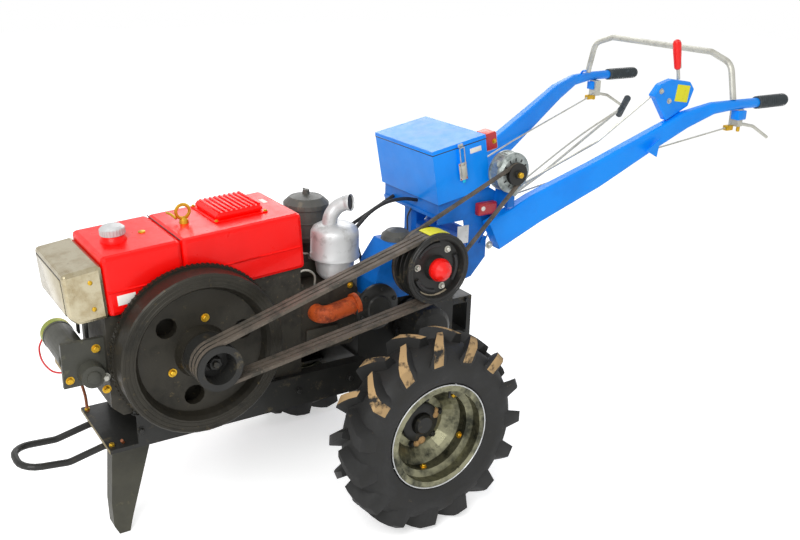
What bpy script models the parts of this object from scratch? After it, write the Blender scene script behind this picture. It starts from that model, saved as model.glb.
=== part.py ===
"""A two-wheel walking tractor with a single-cylinder diesel, parked on its wheels and its front stand leg.

Metres, +Z up. The front faces -Y and the tractor's left side, with the flywheel, is +X.
Places are measured from the middle of the axle, which the empty "machine" holds at its real height.
"""

import math

import bmesh
import bpy
from mathutils import Vector

for old in list(bpy.data.objects):
    bpy.data.objects.remove(old, do_unlink=True)

# ---------------------------------------------------------------- driving sizes

GAP = 0.0003            # left between pieces that touch
ROUND = 32              # sides of a large round piece
WHEEL_SIDES = 32        # the tyre and its rim share these, so that their flats line up

WHEEL_RADIUS = 0.310
TYRE_WIDTH = 0.165
TYRE_WALL = 0.014
TRACK = 0.820           # between the middles of the two tyres
RIM_RADIUS = 0.1685     # outer lip
RIM_WIDTH = 0.130
RIM_SHEET = 0.004
HUB_RADIUS = 0.070
SHAFT_RADIUS = 0.0175
HOUSING_REACH = 0.300   # end of the axle housing from the middle

FRONT_REACH = 1.110     # front of the bumper loop, forward of the axle
REAR_REACH = 1.555      # end of the grips, behind the axle

RAIL_X = 0.125          # middle of a frame rail
RAIL_WIDTH = 0.040
RAIL_FOOT = 0.035       # underside, above the axle
RAIL_DEPTH = 0.100
RAIL_SHEET = 0.008
RAIL_FRONT = -0.800
PLATE_FRONT = -0.880
PLATE_THICK = 0.012

LEG_PIVOT = Vector((0.0, -0.745, -0.010))
LEG_WIDTH = 0.048
LEG_SHEET = 0.006
BUMPER_HALF = 0.072
BUMPER_DROP = 0.022        # how far the loop dips ahead of the front plate
BUMPER_BAR = 0.010      # radius

ENGINE_HALF = 0.125
ENGINE_FRONT = -0.860
ENGINE_REAR = -0.280
HEAD_HALF = 0.115
HEAD_REAR = -0.078
HEAD_TOP = 0.400

HOOD_HALF = 0.141
HOOD_Y = -0.862         # top front edge of the tank, where the nose meets it
HOOD_Z = 0.602
HOOD_PITCH = math.radians(4.3)
HOOD_DEPTH = 0.169
HOOD_LENGTH = 0.580
TANK_LENGTH = 0.217
NOSE_LENGTH = 0.105
NOSE_STEP = 0.018       # the nose lies lower than the tank

CRANK = Vector((0.0, -0.621, 0.309))
FLYWHEEL_RADIUS = 0.234
FLYWHEEL_INNER = 0.147
FLYWHEEL_OUTER = 0.224
HUB_PULLEY_RADIUS = 0.065
CLUTCH_AXLE = Vector((0.0, 0.078, 0.470))
CLUTCH_PULLEY_RADIUS = 0.110
PULLEY_WALL = 0.018     # rim of the clutch pulley round its recessed face
HUB_WALL = 0.019        # rim of the hub pulley round its bore
PULLEY_FACE = 0.325     # outer face of both main pulleys
BELT_WIDTH = 0.0144
BELT_THICK = 0.010
BELT_PITCH = 0.020
BELT_FIRST = 0.270      # middle of the innermost main belt
BELT_COUNT = 3
GROOVE_DEPTH = 0.011
BELT_STEP = math.radians(11)
CHARGE_BELT_X = 0.2445  # the thin belt that drives the alternator
CHARGE_BELT_WIDTH = 0.0094

ALTERNATOR = Vector((0.0, 0.423, 0.704))
ALTERNATOR_RADIUS = 0.062
ALTERNATOR_INNER = 0.172
ALTERNATOR_OUTER = 0.236
ALTERNATOR_PULLEY_RADIUS = 0.036

BOX_Y = 0.149
BOX_Z = 0.785
BOX_PITCH = 0.184
BOX_HALF = 0.166
BOX_LENGTH = 0.205
BOX_DEPTH = 0.175
BOX_SHEET = 0.002
LID_LIP = 0.012

GEARBOX_HALF = 0.100
GEARBOX_FRONT = -0.065
GEARBOX_TOP = 0.335
GEARBOX_REAR = 0.306
HOUSING_TOP = 0.510     # of the blue clutch housing
BASE_HALF = 0.157       # the seat that carries the box and the handlebars
BASE_TOP = 0.460
DECK_TOP = 0.440        # of the base's narrower front deck, where the box's post stands
DECK_HALF = 0.100
BASE_REAR = 0.385
SUPPORT_SHEET = 0.006

ARCH_Y = 1.275
ARCH_HALF = 0.330
ARCH_TOP = 1.046
ARCH_BAR = 0.011
GRIP_RADIUS = 0.019
GRIP_FRONT = 1.393

# Sections of a handlebar: x, y and z of the middle, width, depth, and how square it is (2 is round).
HANDLEBAR = (
    (0.182, 0.385, 0.490, 0.044, 0.110, 7),
    (0.205, 0.535, 0.569, 0.044, 0.108, 7),
    (0.250, 0.749, 0.667, 0.042, 0.094, 7),
    (0.290, 0.942, 0.767, 0.040, 0.072, 6),
    (0.320, 1.077, 0.836, 0.038, 0.060, 5),
    (0.345, 1.186, 0.872, 0.036, 0.042, 3),
    (0.361, 1.290, 0.880, 0.034, 0.034, 2),
    (0.365, GRIP_FRONT - 0.020, 0.880, 0.034, 0.034, 2),
    (0.365, GRIP_FRONT + 0.050, 0.880, 0.034, 0.034, 2),
)

# Finish: colour as linear red, green, blue, then roughness and metallic.
FINISHES = {
    "blue_paint": ((0.0, 0.25, 0.82), 0.35, 0.0),
    "red_paint": ((0.80, 0.015, 0.01), 0.30, 0.0),
    "black_paint": ((0.018, 0.018, 0.018), 0.50, 0.0),
    "chrome": ((0.72, 0.72, 0.70), 0.12, 1.0),
    "cast_iron": ((0.045, 0.042, 0.038), 0.65, 0.4),
    "brown_iron": ((0.30, 0.07, 0.02), 0.60, 0.2),
    "zinc": ((0.45, 0.44, 0.34), 0.35, 0.9),
    "silver_paint": ((0.52, 0.54, 0.55), 0.35, 0.7),
    "grey_paint": ((0.13, 0.13, 0.13), 0.50, 0.0),
    "rubber": ((0.02, 0.02, 0.019), 0.80, 0.0),
    "belt_rubber": ((0.09, 0.075, 0.06), 0.85, 0.0),
    "bare_steel": ((0.30, 0.29, 0.28), 0.40, 0.9),
    "red_plastic": ((0.85, 0.01, 0.01), 0.30, 0.0),
    "black_plastic": ((0.02, 0.02, 0.02), 0.50, 0.0),
}

# ---------------------------------------------------------------- shape helpers


def finish_of(name):
    """The Principled material of this name, made on first use."""
    if name in bpy.data.materials:
        return bpy.data.materials[name]
    colour, roughness, metallic = FINISHES[name]
    material = bpy.data.materials.new(name)
    material.use_nodes = True
    shader = material.node_tree.nodes["Principled BSDF"]
    shader.inputs["Base Color"].default_value = (*colour, 1.0)
    shader.inputs["Roughness"].default_value = roughness
    shader.inputs["Metallic"].default_value = metallic
    material.diffuse_color = (*colour, 1.0)
    return material


def empty(name, place, parent=None, pitch=0.0):
    """A point that other pieces are placed from, turned about X by the pitch."""
    point = bpy.data.objects.new(name, None)
    bpy.context.scene.collection.objects.link(point)
    point.location = place
    point.rotation_euler.x = pitch
    point.parent = parent
    return point


def solid(name, shape, finish, parent, place=(0, 0, 0), smooth=False):
    """Turns a bmesh into an object with its faces pointing out."""
    bmesh.ops.recalc_face_normals(shape, faces=shape.faces)
    mesh = bpy.data.meshes.new(name)
    shape.to_mesh(mesh)
    shape.free()
    piece = bpy.data.objects.new(name, mesh)
    bpy.context.scene.collection.objects.link(piece)
    piece.parent = parent
    piece.location = place
    mesh.materials.append(finish_of(finish))
    if smooth:
        mesh.shade_smooth()
        mesh.set_sharp_from_angle(angle=math.radians(35))
    return piece


def along_axis(axis, a, b, c):
    """A point from its place along the axis and its two places across it, in X, Y, Z order."""
    return {"X": (a, b, c), "Y": (b, a, c), "Z": (b, c, a)}[axis]


def prism(name, outline, low, high, finish, parent, axis="X", place=(0, 0, 0)):
    """An outline across the axis, pulled along it from low to high."""
    shape = bmesh.new()
    ends = [[shape.verts.new(along_axis(axis, at, *point)) for point in outline] for at in (low, high)]
    shape.faces.new(ends[0])
    shape.faces.new(ends[1])
    for i in range(len(outline)):
        j = (i + 1) % len(outline)
        shape.faces.new((ends[0][i], ends[0][j], ends[1][j], ends[1][i]))
    return solid(name, shape, finish, parent, place)


def block(name, x, y, z, finish, parent, place=(0, 0, 0)):
    """A box from its low and high limits along each axis."""
    outline = [(y[0], z[0]), (y[1], z[0]), (y[1], z[1]), (y[0], z[1])]
    return prism(name, outline, x[0], x[1], finish, parent, "X", place)


def turned(name, profile, finish, parent, centre=(0, 0, 0), axis="X", sides=ROUND):
    """A profile of (along, radius) points turned about the axis. A radius of 0 closes it there."""
    shape = bmesh.new()
    rings = []
    for along, radius in profile:
        if radius == 0:
            rings.append([shape.verts.new(along_axis(axis, along, 0, 0))])
            continue
        angles = [2 * math.pi * i / sides for i in range(sides)]
        rings.append(
            [
                shape.verts.new(along_axis(axis, along, radius * math.cos(a), radius * math.sin(a)))
                for a in angles
            ]
        )
    for first, second in zip(rings, rings[1:] + rings[:1]):
        if len(first) == 1 and len(second) == 1:
            continue
        for i in range(sides):
            j = (i + 1) % sides
            corners = [first[i % len(first)], first[j % len(first)]]
            corners += [second[j % len(second)], second[i % len(second)]]
            shape.faces.new(list(dict.fromkeys(corners)))
    return solid(name, shape, finish, parent, centre, smooth=True)


def ring_skin(shape, rings):
    """Joins equal rings of vertices side to side and closes the two ends."""
    for first, second in zip(rings, rings[1:]):
        for i in range(len(first)):
            j = (i + 1) % len(first)
            shape.faces.new((first[i], first[j], second[j], second[i]))
    shape.faces.new(rings[0])
    shape.faces.new(rings[-1])


def rounded(points, radius, steps=5):
    """The path with each inner corner turned on an arc of this radius."""
    points = [Vector(p) for p in points]
    path = [points[0]]
    for before, corner, after in zip(points, points[1:], points[2:]):
        into = (corner - before).normalized()
        out = (after - corner).normalized()
        turn = into.angle(out)
        if turn < 0.02:
            path.append(corner)
            continue
        reach = radius * math.tan(turn / 2)
        centre = corner + (out - into).normalized() * (radius / math.cos(turn / 2))
        start = corner - into * reach - centre
        side = into * radius
        for i in range(steps + 1):
            a = turn * i / steps
            path.append(centre + start * math.cos(a) + side * math.sin(a))
    path.append(points[-1])
    return path


def bar(name, points, radius, finish, parent, sides=12, bend=0.0, place=(0, 0, 0)):
    """A round bar along a path, with its corners bent to the bend radius."""
    path = rounded(points, bend) if bend else [Vector(p) for p in points]
    shape = bmesh.new()
    across = (path[1] - path[0]).orthogonal().normalized()
    rings = []
    for i, point in enumerate(path):
        into = (point - path[i - 1]).normalized() if i else (path[1] - point).normalized()
        out = (path[i + 1] - point).normalized() if i + 1 < len(path) else into
        facing = (into + out).normalized()
        across = (across - facing * across.dot(facing)).normalized()
        up = facing.cross(across)
        turns = [2 * math.pi * k / sides for k in range(sides)]
        spokes = [across * math.cos(a) + up * math.sin(a) for a in turns]
        rings.append([shape.verts.new(point + spoke * radius) for spoke in spokes])
    ring_skin(shape, rings)
    return solid(name, shape, finish, parent, place, smooth=True)


def merge(piece, *others):
    """Makes the others part of the piece."""
    for other in others:
        joined = piece.modifiers.new("join " + other.name, "BOOLEAN")
        joined.operation = "UNION"
        joined.object = other
        other.hide_render = True
        other.display_type = "WIRE"
    return piece


def cut(piece, *others):
    """Takes the others out of the piece."""
    for other in others:
        removed = piece.modifiers.new("cut " + other.name, "BOOLEAN")
        removed.operation = "DIFFERENCE"
        removed.object = other
        other.hide_render = True
        other.display_type = "WIRE"
    return piece


def soften(piece, width, segments=2, angle=30):
    """Rounds the edges sharper than the angle."""
    bevel = piece.modifiers.new("soften", "BEVEL")
    bevel.width = width
    bevel.segments = segments
    bevel.limit_method = "ANGLE"
    bevel.angle_limit = math.radians(angle)
    return piece


# ---------------------------------------------------------------- wheels


def wheel(side, sign, parent):
    """Tyre, dished rim and hub with its half shaft; the sign is 1 on the left and -1 on the right."""
    middle = (sign * TRACK / 2, 0, 0)
    half = TYRE_WIDTH / 2
    lip = RIM_WIDTH / 2
    flange = lip - RIM_SHEET
    seat = RIM_RADIUS - 0.0165
    well = seat - 0.020
    bead = flange - GAP
    outer = [
        (bead, seat + GAP), (bead, RIM_RADIUS + GAP), (half - 0.008, 0.195), (half, 0.235),
        (half - 0.006, 0.280), (half - 0.022, WHEEL_RADIUS - 0.004), (half - 0.050, WHEEL_RADIUS),
    ]
    inner = [
        (half - 0.045, WHEEL_RADIUS - TYRE_WALL - 0.020), (half - TYRE_WALL, 0.240),
        (bead - 0.016, seat + GAP),
    ]
    outer += [(-along, radius) for along, radius in reversed(outer)]
    inner = [(-along, radius) for along, radius in inner] + [(a, r) for a, r in reversed(inner)]
    turned(f"tyre_{side}", outer + inner, "rubber", parent, middle, sides=WHEEL_SIDES)

    sheet = RIM_SHEET
    rim = [
        (lip, RIM_RADIUS), (flange, RIM_RADIUS), (flange, seat), (0.030, seat), (0.022, well),
        (-0.022, well), (-0.030, seat), (-flange, seat), (-flange, RIM_RADIUS), (-lip, RIM_RADIUS),
        (-lip, seat - sheet), (-0.033, seat - sheet), (-0.025, well - sheet), (-0.018, well - sheet),
        (-0.030, 0.110), (-0.055, 0.085), (-0.055, 0.045), (-0.049, 0.045), (-0.049, 0.087),
        (-0.024, 0.112), (-0.010, well - sheet), (0.025, well - sheet), (0.033, seat - sheet),
        (lip, seat - sheet),
    ]
    turned(f"rim_{side}", [(sign * a, r) for a, r in rim], "zinc", parent, middle, sides=WHEEL_SIDES)

    face = -0.055 - GAP
    shaft_end = HOUSING_REACH - 0.030 - TRACK / 2
    hub = [
        (-0.015, 0), (-0.015, 0.026), (-0.022, 0.032), (-0.040, 0.034), (-0.040, 0.045 - GAP),
        (face, 0.045 - GAP), (face, HUB_RADIUS), (face - 0.012, HUB_RADIUS), (face - 0.012, 0.035),
        (HOUSING_REACH - TRACK / 2 + 0.002, 0.032), (HOUSING_REACH - TRACK / 2 + 0.002, SHAFT_RADIUS),
        (shaft_end, SHAFT_RADIUS), (shaft_end, 0),
    ]
    turned(f"hub_{side}", [(sign * a, r) for a, r in hub], "black_paint", parent, middle, sides=24)


def axle_housing(side, sign, parent):
    """The tube from the gearbox to the hub, bored for the half shaft."""
    root = GEARBOX_HALF + GAP
    bore = SHAFT_RADIUS + 0.001
    profile = [
        (root, 0), (root, 0.064), (root + 0.012, 0.064), (root + 0.018, 0.048),
        (HOUSING_REACH - 0.020, 0.040), (HOUSING_REACH, 0.040), (HOUSING_REACH, bore),
        (HOUSING_REACH - 0.032, bore), (HOUSING_REACH - 0.032, 0),
    ]
    turned(f"axle_housing_{side}", [(sign * a, r) for a, r in profile], "black_paint", parent, sides=20)


# ---------------------------------------------------------------- frame, stand and bumper


def frame(parent):
    """Two channel rails, a front plate and a rear cross plate, in one welded piece."""
    foot, top = RAIL_FOOT, RAIL_FOOT + RAIL_DEPTH
    rear = GEARBOX_FRONT - GAP
    rails = []
    for side, sign in (("left", 1), ("right", -1)):
        back = RAIL_X + RAIL_WIDTH / 2
        lip = RAIL_X - RAIL_WIDTH / 2
        channel = [
            (back, foot), (back, top), (lip, top), (lip, top - RAIL_SHEET),
            (back - RAIL_SHEET, top - RAIL_SHEET), (back - RAIL_SHEET, foot + RAIL_SHEET),
            (lip, foot + RAIL_SHEET), (lip, foot),
        ]
        rails.append(
            prism(f"rail_{side}_shape", [(sign * x, z) for x, z in channel], RAIL_FRONT, rear,
                  "black_paint", parent, "Y")
        )
    edge = RAIL_X + RAIL_WIDTH / 2
    front = block("chassis_frame", (-edge, edge), (PLATE_FRONT, RAIL_FRONT + 0.120),
                  (foot, foot + PLATE_THICK), "black_paint", parent)
    crossing = block("cross_plate_shape", (-edge + 0.002, edge - 0.002), (rear - 0.012, rear),
                     (foot + 0.001, top - 0.001), "black_paint", parent)
    half = LEG_WIDTH / 2 - LEG_SHEET - 0.001
    lug = block("leg_lug_shape", (-half, half), (LEG_PIVOT.y - 0.018, LEG_PIVOT.y + 0.018),
                (LEG_PIVOT.z - 0.016, foot + 0.002), "black_paint", parent)
    reach = LEG_WIDTH / 2 + 0.008
    pin = turned("leg_pin_shape", [(-reach, 0), (-reach, 0.007), (reach, 0.007), (reach, 0)], "black_paint",
                 parent, LEG_PIVOT, sides=16)
    return merge(front, *rails, crossing, lug, pin)


def stand_leg(parent):
    """A folded channel that hangs under the front plate on a cross pin and bears forward on its stop."""
    top = RAIL_FOOT - GAP - LEG_PIVOT.z
    foot = -WHEEL_RADIUS - LEG_PIVOT.z
    outline = [
        (-0.094, top), (-0.020, top - 0.012), (0.011, top - 0.030), (0.011, -0.030), (-0.052, foot + 0.050),
        (-0.064, foot), (-0.096, foot), (-0.110, foot + 0.030), (-0.112, foot + 0.110),
    ]
    inside = [
        (-0.094 + LEG_SHEET, top + 0.010), (0.030, top + 0.010), (0.030, foot - 0.010),
        (-0.052, foot - 0.010), (-0.088, foot + LEG_SHEET), (-0.110 + LEG_SHEET, foot + 0.032),
        (-0.112 + LEG_SHEET, foot + 0.110),
    ]
    half = LEG_WIDTH / 2
    leg = prism("stand_leg", outline, -half, half, "black_paint", parent)
    hollow = prism("leg_hollow", inside, -half + LEG_SHEET, half - LEG_SHEET, "black_paint", parent)
    hole = turned("leg_pin_hole", [(-0.05, 0), (-0.05, 0.0075), (0.05, 0.0075), (0.05, 0)], "black_paint",
                  parent, sides=16)
    return cut(leg, hollow, hole)


def bumper(parent):
    """The round-bar loop ahead of the front plate, under which its ends are welded."""
    level = RAIL_FOOT - GAP - BUMPER_BAR
    front = -FRONT_REACH + BUMPER_BAR
    side = [
        (BUMPER_HALF, PLATE_FRONT + 0.070, level), (BUMPER_HALF, PLATE_FRONT, level),
        (BUMPER_HALF, (PLATE_FRONT + front) / 2 + 0.015, level - BUMPER_DROP),
        (BUMPER_HALF - 0.006, front, level - BUMPER_DROP / 2),
    ]
    path = side + [(-x, y, z) for x, y, z in reversed(side)]
    return bar("bumper_loop", path, BUMPER_BAR, "black_paint", parent, bend=0.055)


# ---------------------------------------------------------------- engine


def hood_underside(y):
    """Height of the hood's lower edge at this y."""
    return HOOD_Z - HOOD_DEPTH / math.cos(HOOD_PITCH) + (y - HOOD_Y) * math.tan(HOOD_PITCH)


def engine(parent):
    """The crankcase and the cylinder head, one plain block each."""
    foot = RAIL_FOOT + RAIL_DEPTH + GAP
    outline = [
        (ENGINE_FRONT, foot + 0.030), (ENGINE_FRONT + 0.030, foot), (ENGINE_REAR, foot),
        (ENGINE_REAR, hood_underside(ENGINE_REAR) - 2 * GAP),
        (ENGINE_FRONT, hood_underside(ENGINE_FRONT) - 2 * GAP),
    ]
    prism("engine_block", outline, -ENGINE_HALF, ENGINE_HALF, "cast_iron", parent)
    head = [
        (ENGINE_REAR + GAP, 0.190), (HEAD_REAR - 0.020, 0.190), (HEAD_REAR, 0.210), (HEAD_REAR, 0.370),
        (HEAD_REAR - 0.020, HEAD_TOP), (ENGINE_REAR + GAP, HEAD_TOP),
    ]
    prism("cylinder_head", head, -HEAD_HALF, HEAD_HALF, "cast_iron", parent)


def hood(parent):
    """Chrome nose, fuel tank and radiator hood, in a frame that slopes down to the front."""
    slope = empty("hood_slope", (0, HOOD_Y, HOOD_Z), parent, HOOD_PITCH)
    tank = block("fuel_tank", (-HOOD_HALF, HOOD_HALF), (0, TANK_LENGTH - GAP), (-HOOD_DEPTH, 0),
                 "red_paint", slope)
    cover = block("radiator_hood", (-HOOD_HALF, HOOD_HALF), (TANK_LENGTH, HOOD_LENGTH), (-HOOD_DEPTH, 0),
                  "red_paint", slope)
    for piece in (tank, cover):
        soften(piece, 0.012, 2)
    low = HOOD_DEPTH - 0.001
    nose = [
        (-NOSE_LENGTH, -NOSE_STEP - 0.006), (-GAP, -NOSE_STEP), (-GAP, -low), (-NOSE_LENGTH + 0.024, -low),
        (-NOSE_LENGTH, -low + 0.026),
    ]
    soften(prism("nose_cover", nose, -HOOD_HALF, HOOD_HALF, "chrome", slope), 0.010, 2)
    turned("filler_cap", [(GAP, 0), (GAP, 0.026), (0.018, 0.026), (0.018, 0.033), (0.036, 0.033),
                          (0.042, 0.026), (0.044, 0)],
           "silver_paint", slope, (0.020, 0.072, 0), "Z", 28)
    ribs = block("radiator_cap", (-0.110, 0.060), (0.355, 0.500), (GAP, 0.022), "red_paint", slope)
    soften(ribs, 0.008, 1)
    ring = bmesh.new()
    turns, sides, radius, thick = 18, 6, 0.020, 0.005
    loops = []
    for i in range(turns):
        a = 2 * math.pi * i / turns
        loop = []
        for k in range(sides):
            b = 2 * math.pi * k / sides
            reach = radius + thick * math.cos(b)
            place = (thick * math.sin(b), reach * math.cos(a), reach * math.sin(a) + 0.034)
            loop.append(ring.verts.new(place))
        loops.append(loop)
    for first, second in zip(loops, loops[1:] + loops[:1]):
        for k in range(sides):
            m = (k + 1) % sides
            ring.faces.new((first[k], first[m], second[m], second[k]))
    eye = solid("lifting_eye", ring, "zinc", slope, (0.005, 0.278, 0), smooth=True)
    shank = turned("eye_shank", [(GAP, 0), (GAP, 0.014), (0.010, 0.012), (0.016, 0.006), (0.017, 0)],
                   "zinc", slope, (0.005, 0.278, 0), "Z", 16)
    merge(eye, shank)


def air_filter(parent):
    """The oil-bath pot on its pipe from the cylinder head."""
    foot = HEAD_TOP + GAP
    profile = [
        (foot, 0), (foot, 0.034), (foot + 0.008, 0.034), (foot + 0.012, 0.026), (0.478, 0.026),
        (0.488, 0.062), (0.500, 0.067), (0.592, 0.067), (0.592, 0.072), (0.606, 0.072), (0.624, 0.052),
        (0.632, 0.012),
        (0.646, 0.010), (0.648, 0),
    ]
    turned("air_filter", profile, "grey_paint", parent, (-0.087, -0.150, 0), "Z", 24)


def muffler(parent):
    """The round silencer on the cylinder head, with its bent outlet."""
    foot = HEAD_TOP + GAP
    profile = [
        (foot, 0), (foot, 0.040), (0.430, 0.056), (0.474, 0.056), (0.476, 0.077), (0.484, 0.077),
        (0.486, 0.073), (0.556, 0.073), (0.568, 0.066), (0.576, 0.040), (0.578, 0),
    ]
    centre = (0.080, -0.140, 0)
    can = turned("muffler", profile, "silver_paint", parent, centre, "Z", 28)
    path = [(0.080, -0.160, 0.560), (0.080, -0.160, 0.620), (0.080, -0.105, 0.652)]
    outlet = bar("muffler_outlet", path, 0.024, "silver_paint", parent, 20, bend=0.030)
    return merge(can, outlet)


def exhaust_elbow(parent):
    """The cast elbow on the left of the cylinder head."""
    start = HEAD_HALF + GAP
    path = [(start, -0.225, 0.318), (start + 0.040, -0.225, 0.318), (start + 0.040, -0.105, 0.338)]
    elbow = bar("exhaust_elbow", path, 0.027, "brown_iron", parent, 20, bend=0.030)
    lip = bar("elbow_lip", [(start + 0.040, -0.117, 0.336), (start + 0.040, -0.103, 0.3383)], 0.034,
              "brown_iron", parent, 20)
    return merge(elbow, lip)


def starter(parent):
    """The electric starter across the front of the crankcase, with its flange."""
    y, z, radius = -0.935, 0.315, 0.042
    body = turned("starter_motor", [(-0.130, 0), (-0.130, 0.030), (-0.122, 0.038), (-0.118, radius),
                                    (0.092, radius), (0.092, 0)],
                  "grey_paint", parent, (0, y, z), sides=28)
    flange = block("starter_flange", (0.088, 0.102), (y - 0.040, ENGINE_FRONT - GAP), (0.240, 0.368),
                   "grey_paint", parent)
    bell = turned("starter_bell", [(0.100, 0), (0.100, 0.036), (0.134, 0.032), (0.138, 0)], "grey_paint",
                  parent, (0, -0.903, 0.272), sides=24)
    solenoid = block("starter_solenoid", (-0.080, 0.000), (y - 0.018, y + 0.018), (z - 0.075, z - 0.020),
                     "grey_paint", parent)
    return merge(body, flange, bell, solenoid)


# ---------------------------------------------------------------- drive


def flywheel(parent):
    """The heavy rim with its ring gear, a holed web, and the crankshaft end that carries it."""
    inner, outer, radius = FLYWHEEL_INNER, FLYWHEEL_OUTER, FLYWHEEL_RADIUS
    profile = [
        (ENGINE_HALF + GAP, 0), (ENGINE_HALF + GAP, 0.040), (inner + 0.018, 0.040), (inner + 0.018, 0.190),
        (inner, 0.194), (inner, radius + 0.006), (inner + 0.014, radius + 0.006), (inner + 0.014, radius),
        (outer - 0.004, radius), (outer, radius - 0.004), (outer, 0.196), (outer - 0.012, 0.188),
        (outer - 0.032, 0.180), (outer - 0.032, 0.078), (outer - 0.004, 0.070), (outer - 0.004, 0),
    ]
    wheel_shape = turned("flywheel", profile, "cast_iron", parent, CRANK, sides=40)
    holes = []
    for i in range(3):
        a = math.radians(120 * i + 18)
        place = CRANK + Vector((0, 0.130 * math.cos(a), 0.130 * math.sin(a)))
        through = [(inner, 0), (inner, 0.030), (outer, 0.030), (outer, 0)]
        holes.append(turned(f"flywheel_hole_{i}", through, "cast_iron", parent, place, sides=12))
    return cut(wheel_shape, *holes)


def grooved(inner, face, radius, middles, width):
    """Outline of a pulley's rim from its inner side to its face, with a groove for each belt."""
    line = [(inner, radius)]
    for middle in middles:
        low, high = middle - width / 2, middle + width / 2
        line += [(low, radius), (low, radius - GROOVE_DEPTH), (high, radius - GROOVE_DEPTH), (high, radius)]
    return line + [(face, radius)]


def belt(name, x, width, first, first_radius, second, second_radius, finish, parent):
    """A closed belt round two pulleys, whose radii are those of the groove floors."""
    shape = bmesh.new()
    line = second - first
    length = math.hypot(line.y, line.z)
    heading = math.atan2(line.z, line.y)
    loops = []
    for lift in (GAP, GAP + BELT_THICK):
        spread = math.acos((first_radius - second_radius) / length)
        points = []
        for centre, radius, start, sweep in (
            (first, first_radius, heading + spread, 2 * math.pi - 2 * spread),
            (second, second_radius, heading - spread, 2 * spread),
        ):
            steps = max(4, round(sweep / BELT_STEP))
            for i in range(steps + 1):
                a = start + sweep * i / steps
                reach = radius / math.cos(sweep / steps / 2) + lift
                points.append((centre.y + reach * math.cos(a), centre.z + reach * math.sin(a)))
        loops.append(points)
    corners = [
        [[shape.verts.new((at, *point)) for point in points] for at in (x - width / 2, x + width / 2)]
        for points in loops
    ]
    (inner_low, inner_high), (outer_low, outer_high) = corners
    for i in range(len(inner_low)):
        j = (i + 1) % len(inner_low)
        shape.faces.new((inner_low[i], inner_low[j], outer_low[j], outer_low[i]))
        shape.faces.new((inner_high[i], inner_high[j], outer_high[j], outer_high[i]))
        shape.faces.new((inner_low[i], inner_low[j], inner_high[j], inner_high[i]))
        shape.faces.new((outer_low[i], outer_low[j], outer_high[j], outer_high[i]))
    return solid(name, shape, finish, parent)


def drive(parent):
    """Hub pulley, clutch pulley with its red cap, and the belts between them and to the alternator."""
    middles = [BELT_FIRST + BELT_PITCH * i for i in range(BELT_COUNT)]
    groove = BELT_WIDTH + 2 * GAP
    start = FLYWHEEL_OUTER - 0.004 + GAP
    rim = grooved(start, PULLEY_FACE, HUB_PULLEY_RADIUS, middles, groove)
    bore = PULLEY_FACE - 0.050
    mouth = HUB_PULLEY_RADIUS - HUB_WALL
    profile = [(start, 0)] + rim + [(PULLEY_FACE, mouth), (bore, mouth - 0.006), (bore, 0)]
    turned("hub_pulley", profile, "black_paint", parent, CRANK, sides=ROUND)

    back = CHARGE_BELT_X - 0.010
    charge_groove = CHARGE_BELT_WIDTH + 2 * GAP
    rim = grooved(back, CHARGE_BELT_X + 0.008, CLUTCH_PULLEY_RADIUS, [CHARGE_BELT_X], charge_groove)
    rim += grooved(CHARGE_BELT_X + 0.008, PULLEY_FACE, CLUTCH_PULLEY_RADIUS, middles, groove)[1:]
    recess = CLUTCH_PULLEY_RADIUS - PULLEY_WALL
    profile = [(back, 0)] + rim + [
        (PULLEY_FACE, recess), (PULLEY_FACE - 0.018, recess - 0.006), (PULLEY_FACE - 0.018, 0.040),
        (PULLEY_FACE - 0.004, 0.036), (PULLEY_FACE - 0.004, 0),
    ]
    turned("clutch_pulley", profile, "black_paint", parent, CLUTCH_AXLE, sides=32)
    cap_foot = PULLEY_FACE - 0.004 + GAP
    cap = [
        (cap_foot, 0), (cap_foot, 0.034), (cap_foot + 0.012, 0.036), (cap_foot + 0.028, 0.030),
        (cap_foot + 0.040, 0.016), (cap_foot + 0.044, 0),
    ]
    turned("clutch_cap", cap, "red_plastic", parent, CLUTCH_AXLE, sides=28)
    for i, middle in enumerate(middles):
        belt(f"v_belt_{i + 1}", middle, BELT_WIDTH, CRANK, HUB_PULLEY_RADIUS - GROOVE_DEPTH, CLUTCH_AXLE,
             CLUTCH_PULLEY_RADIUS - GROOVE_DEPTH, "belt_rubber", parent)

    body = [
        (ALTERNATOR_INNER, 0), (ALTERNATOR_INNER, 0.052), (ALTERNATOR_INNER + 0.008, ALTERNATOR_RADIUS),
        (ALTERNATOR_OUTER - 0.010, ALTERNATOR_RADIUS), (ALTERNATOR_OUTER, 0.050), (ALTERNATOR_OUTER, 0),
    ]
    turned("alternator", body, "silver_paint", parent, ALTERNATOR, sides=28)
    edge = ALTERNATOR_OUTER + GAP
    rim = grooved(edge, CHARGE_BELT_X + 0.008, ALTERNATOR_PULLEY_RADIUS, [CHARGE_BELT_X], charge_groove)
    face = CHARGE_BELT_X + 0.008
    profile = [(edge, 0)] + rim + [(face, 0.014), (face + 0.008, 0.012), (face + 0.008, 0)]
    turned("alternator_pulley", profile, "black_paint", parent, ALTERNATOR, sides=28)
    belt("alternator_belt", CHARGE_BELT_X, CHARGE_BELT_WIDTH, CLUTCH_AXLE,
         CLUTCH_PULLEY_RADIUS - GROOVE_DEPTH, ALTERNATOR, ALTERNATOR_PULLEY_RADIUS - GROOVE_DEPTH,
         "belt_rubber", parent)


# ---------------------------------------------------------------- gearbox and what stands on it


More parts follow.
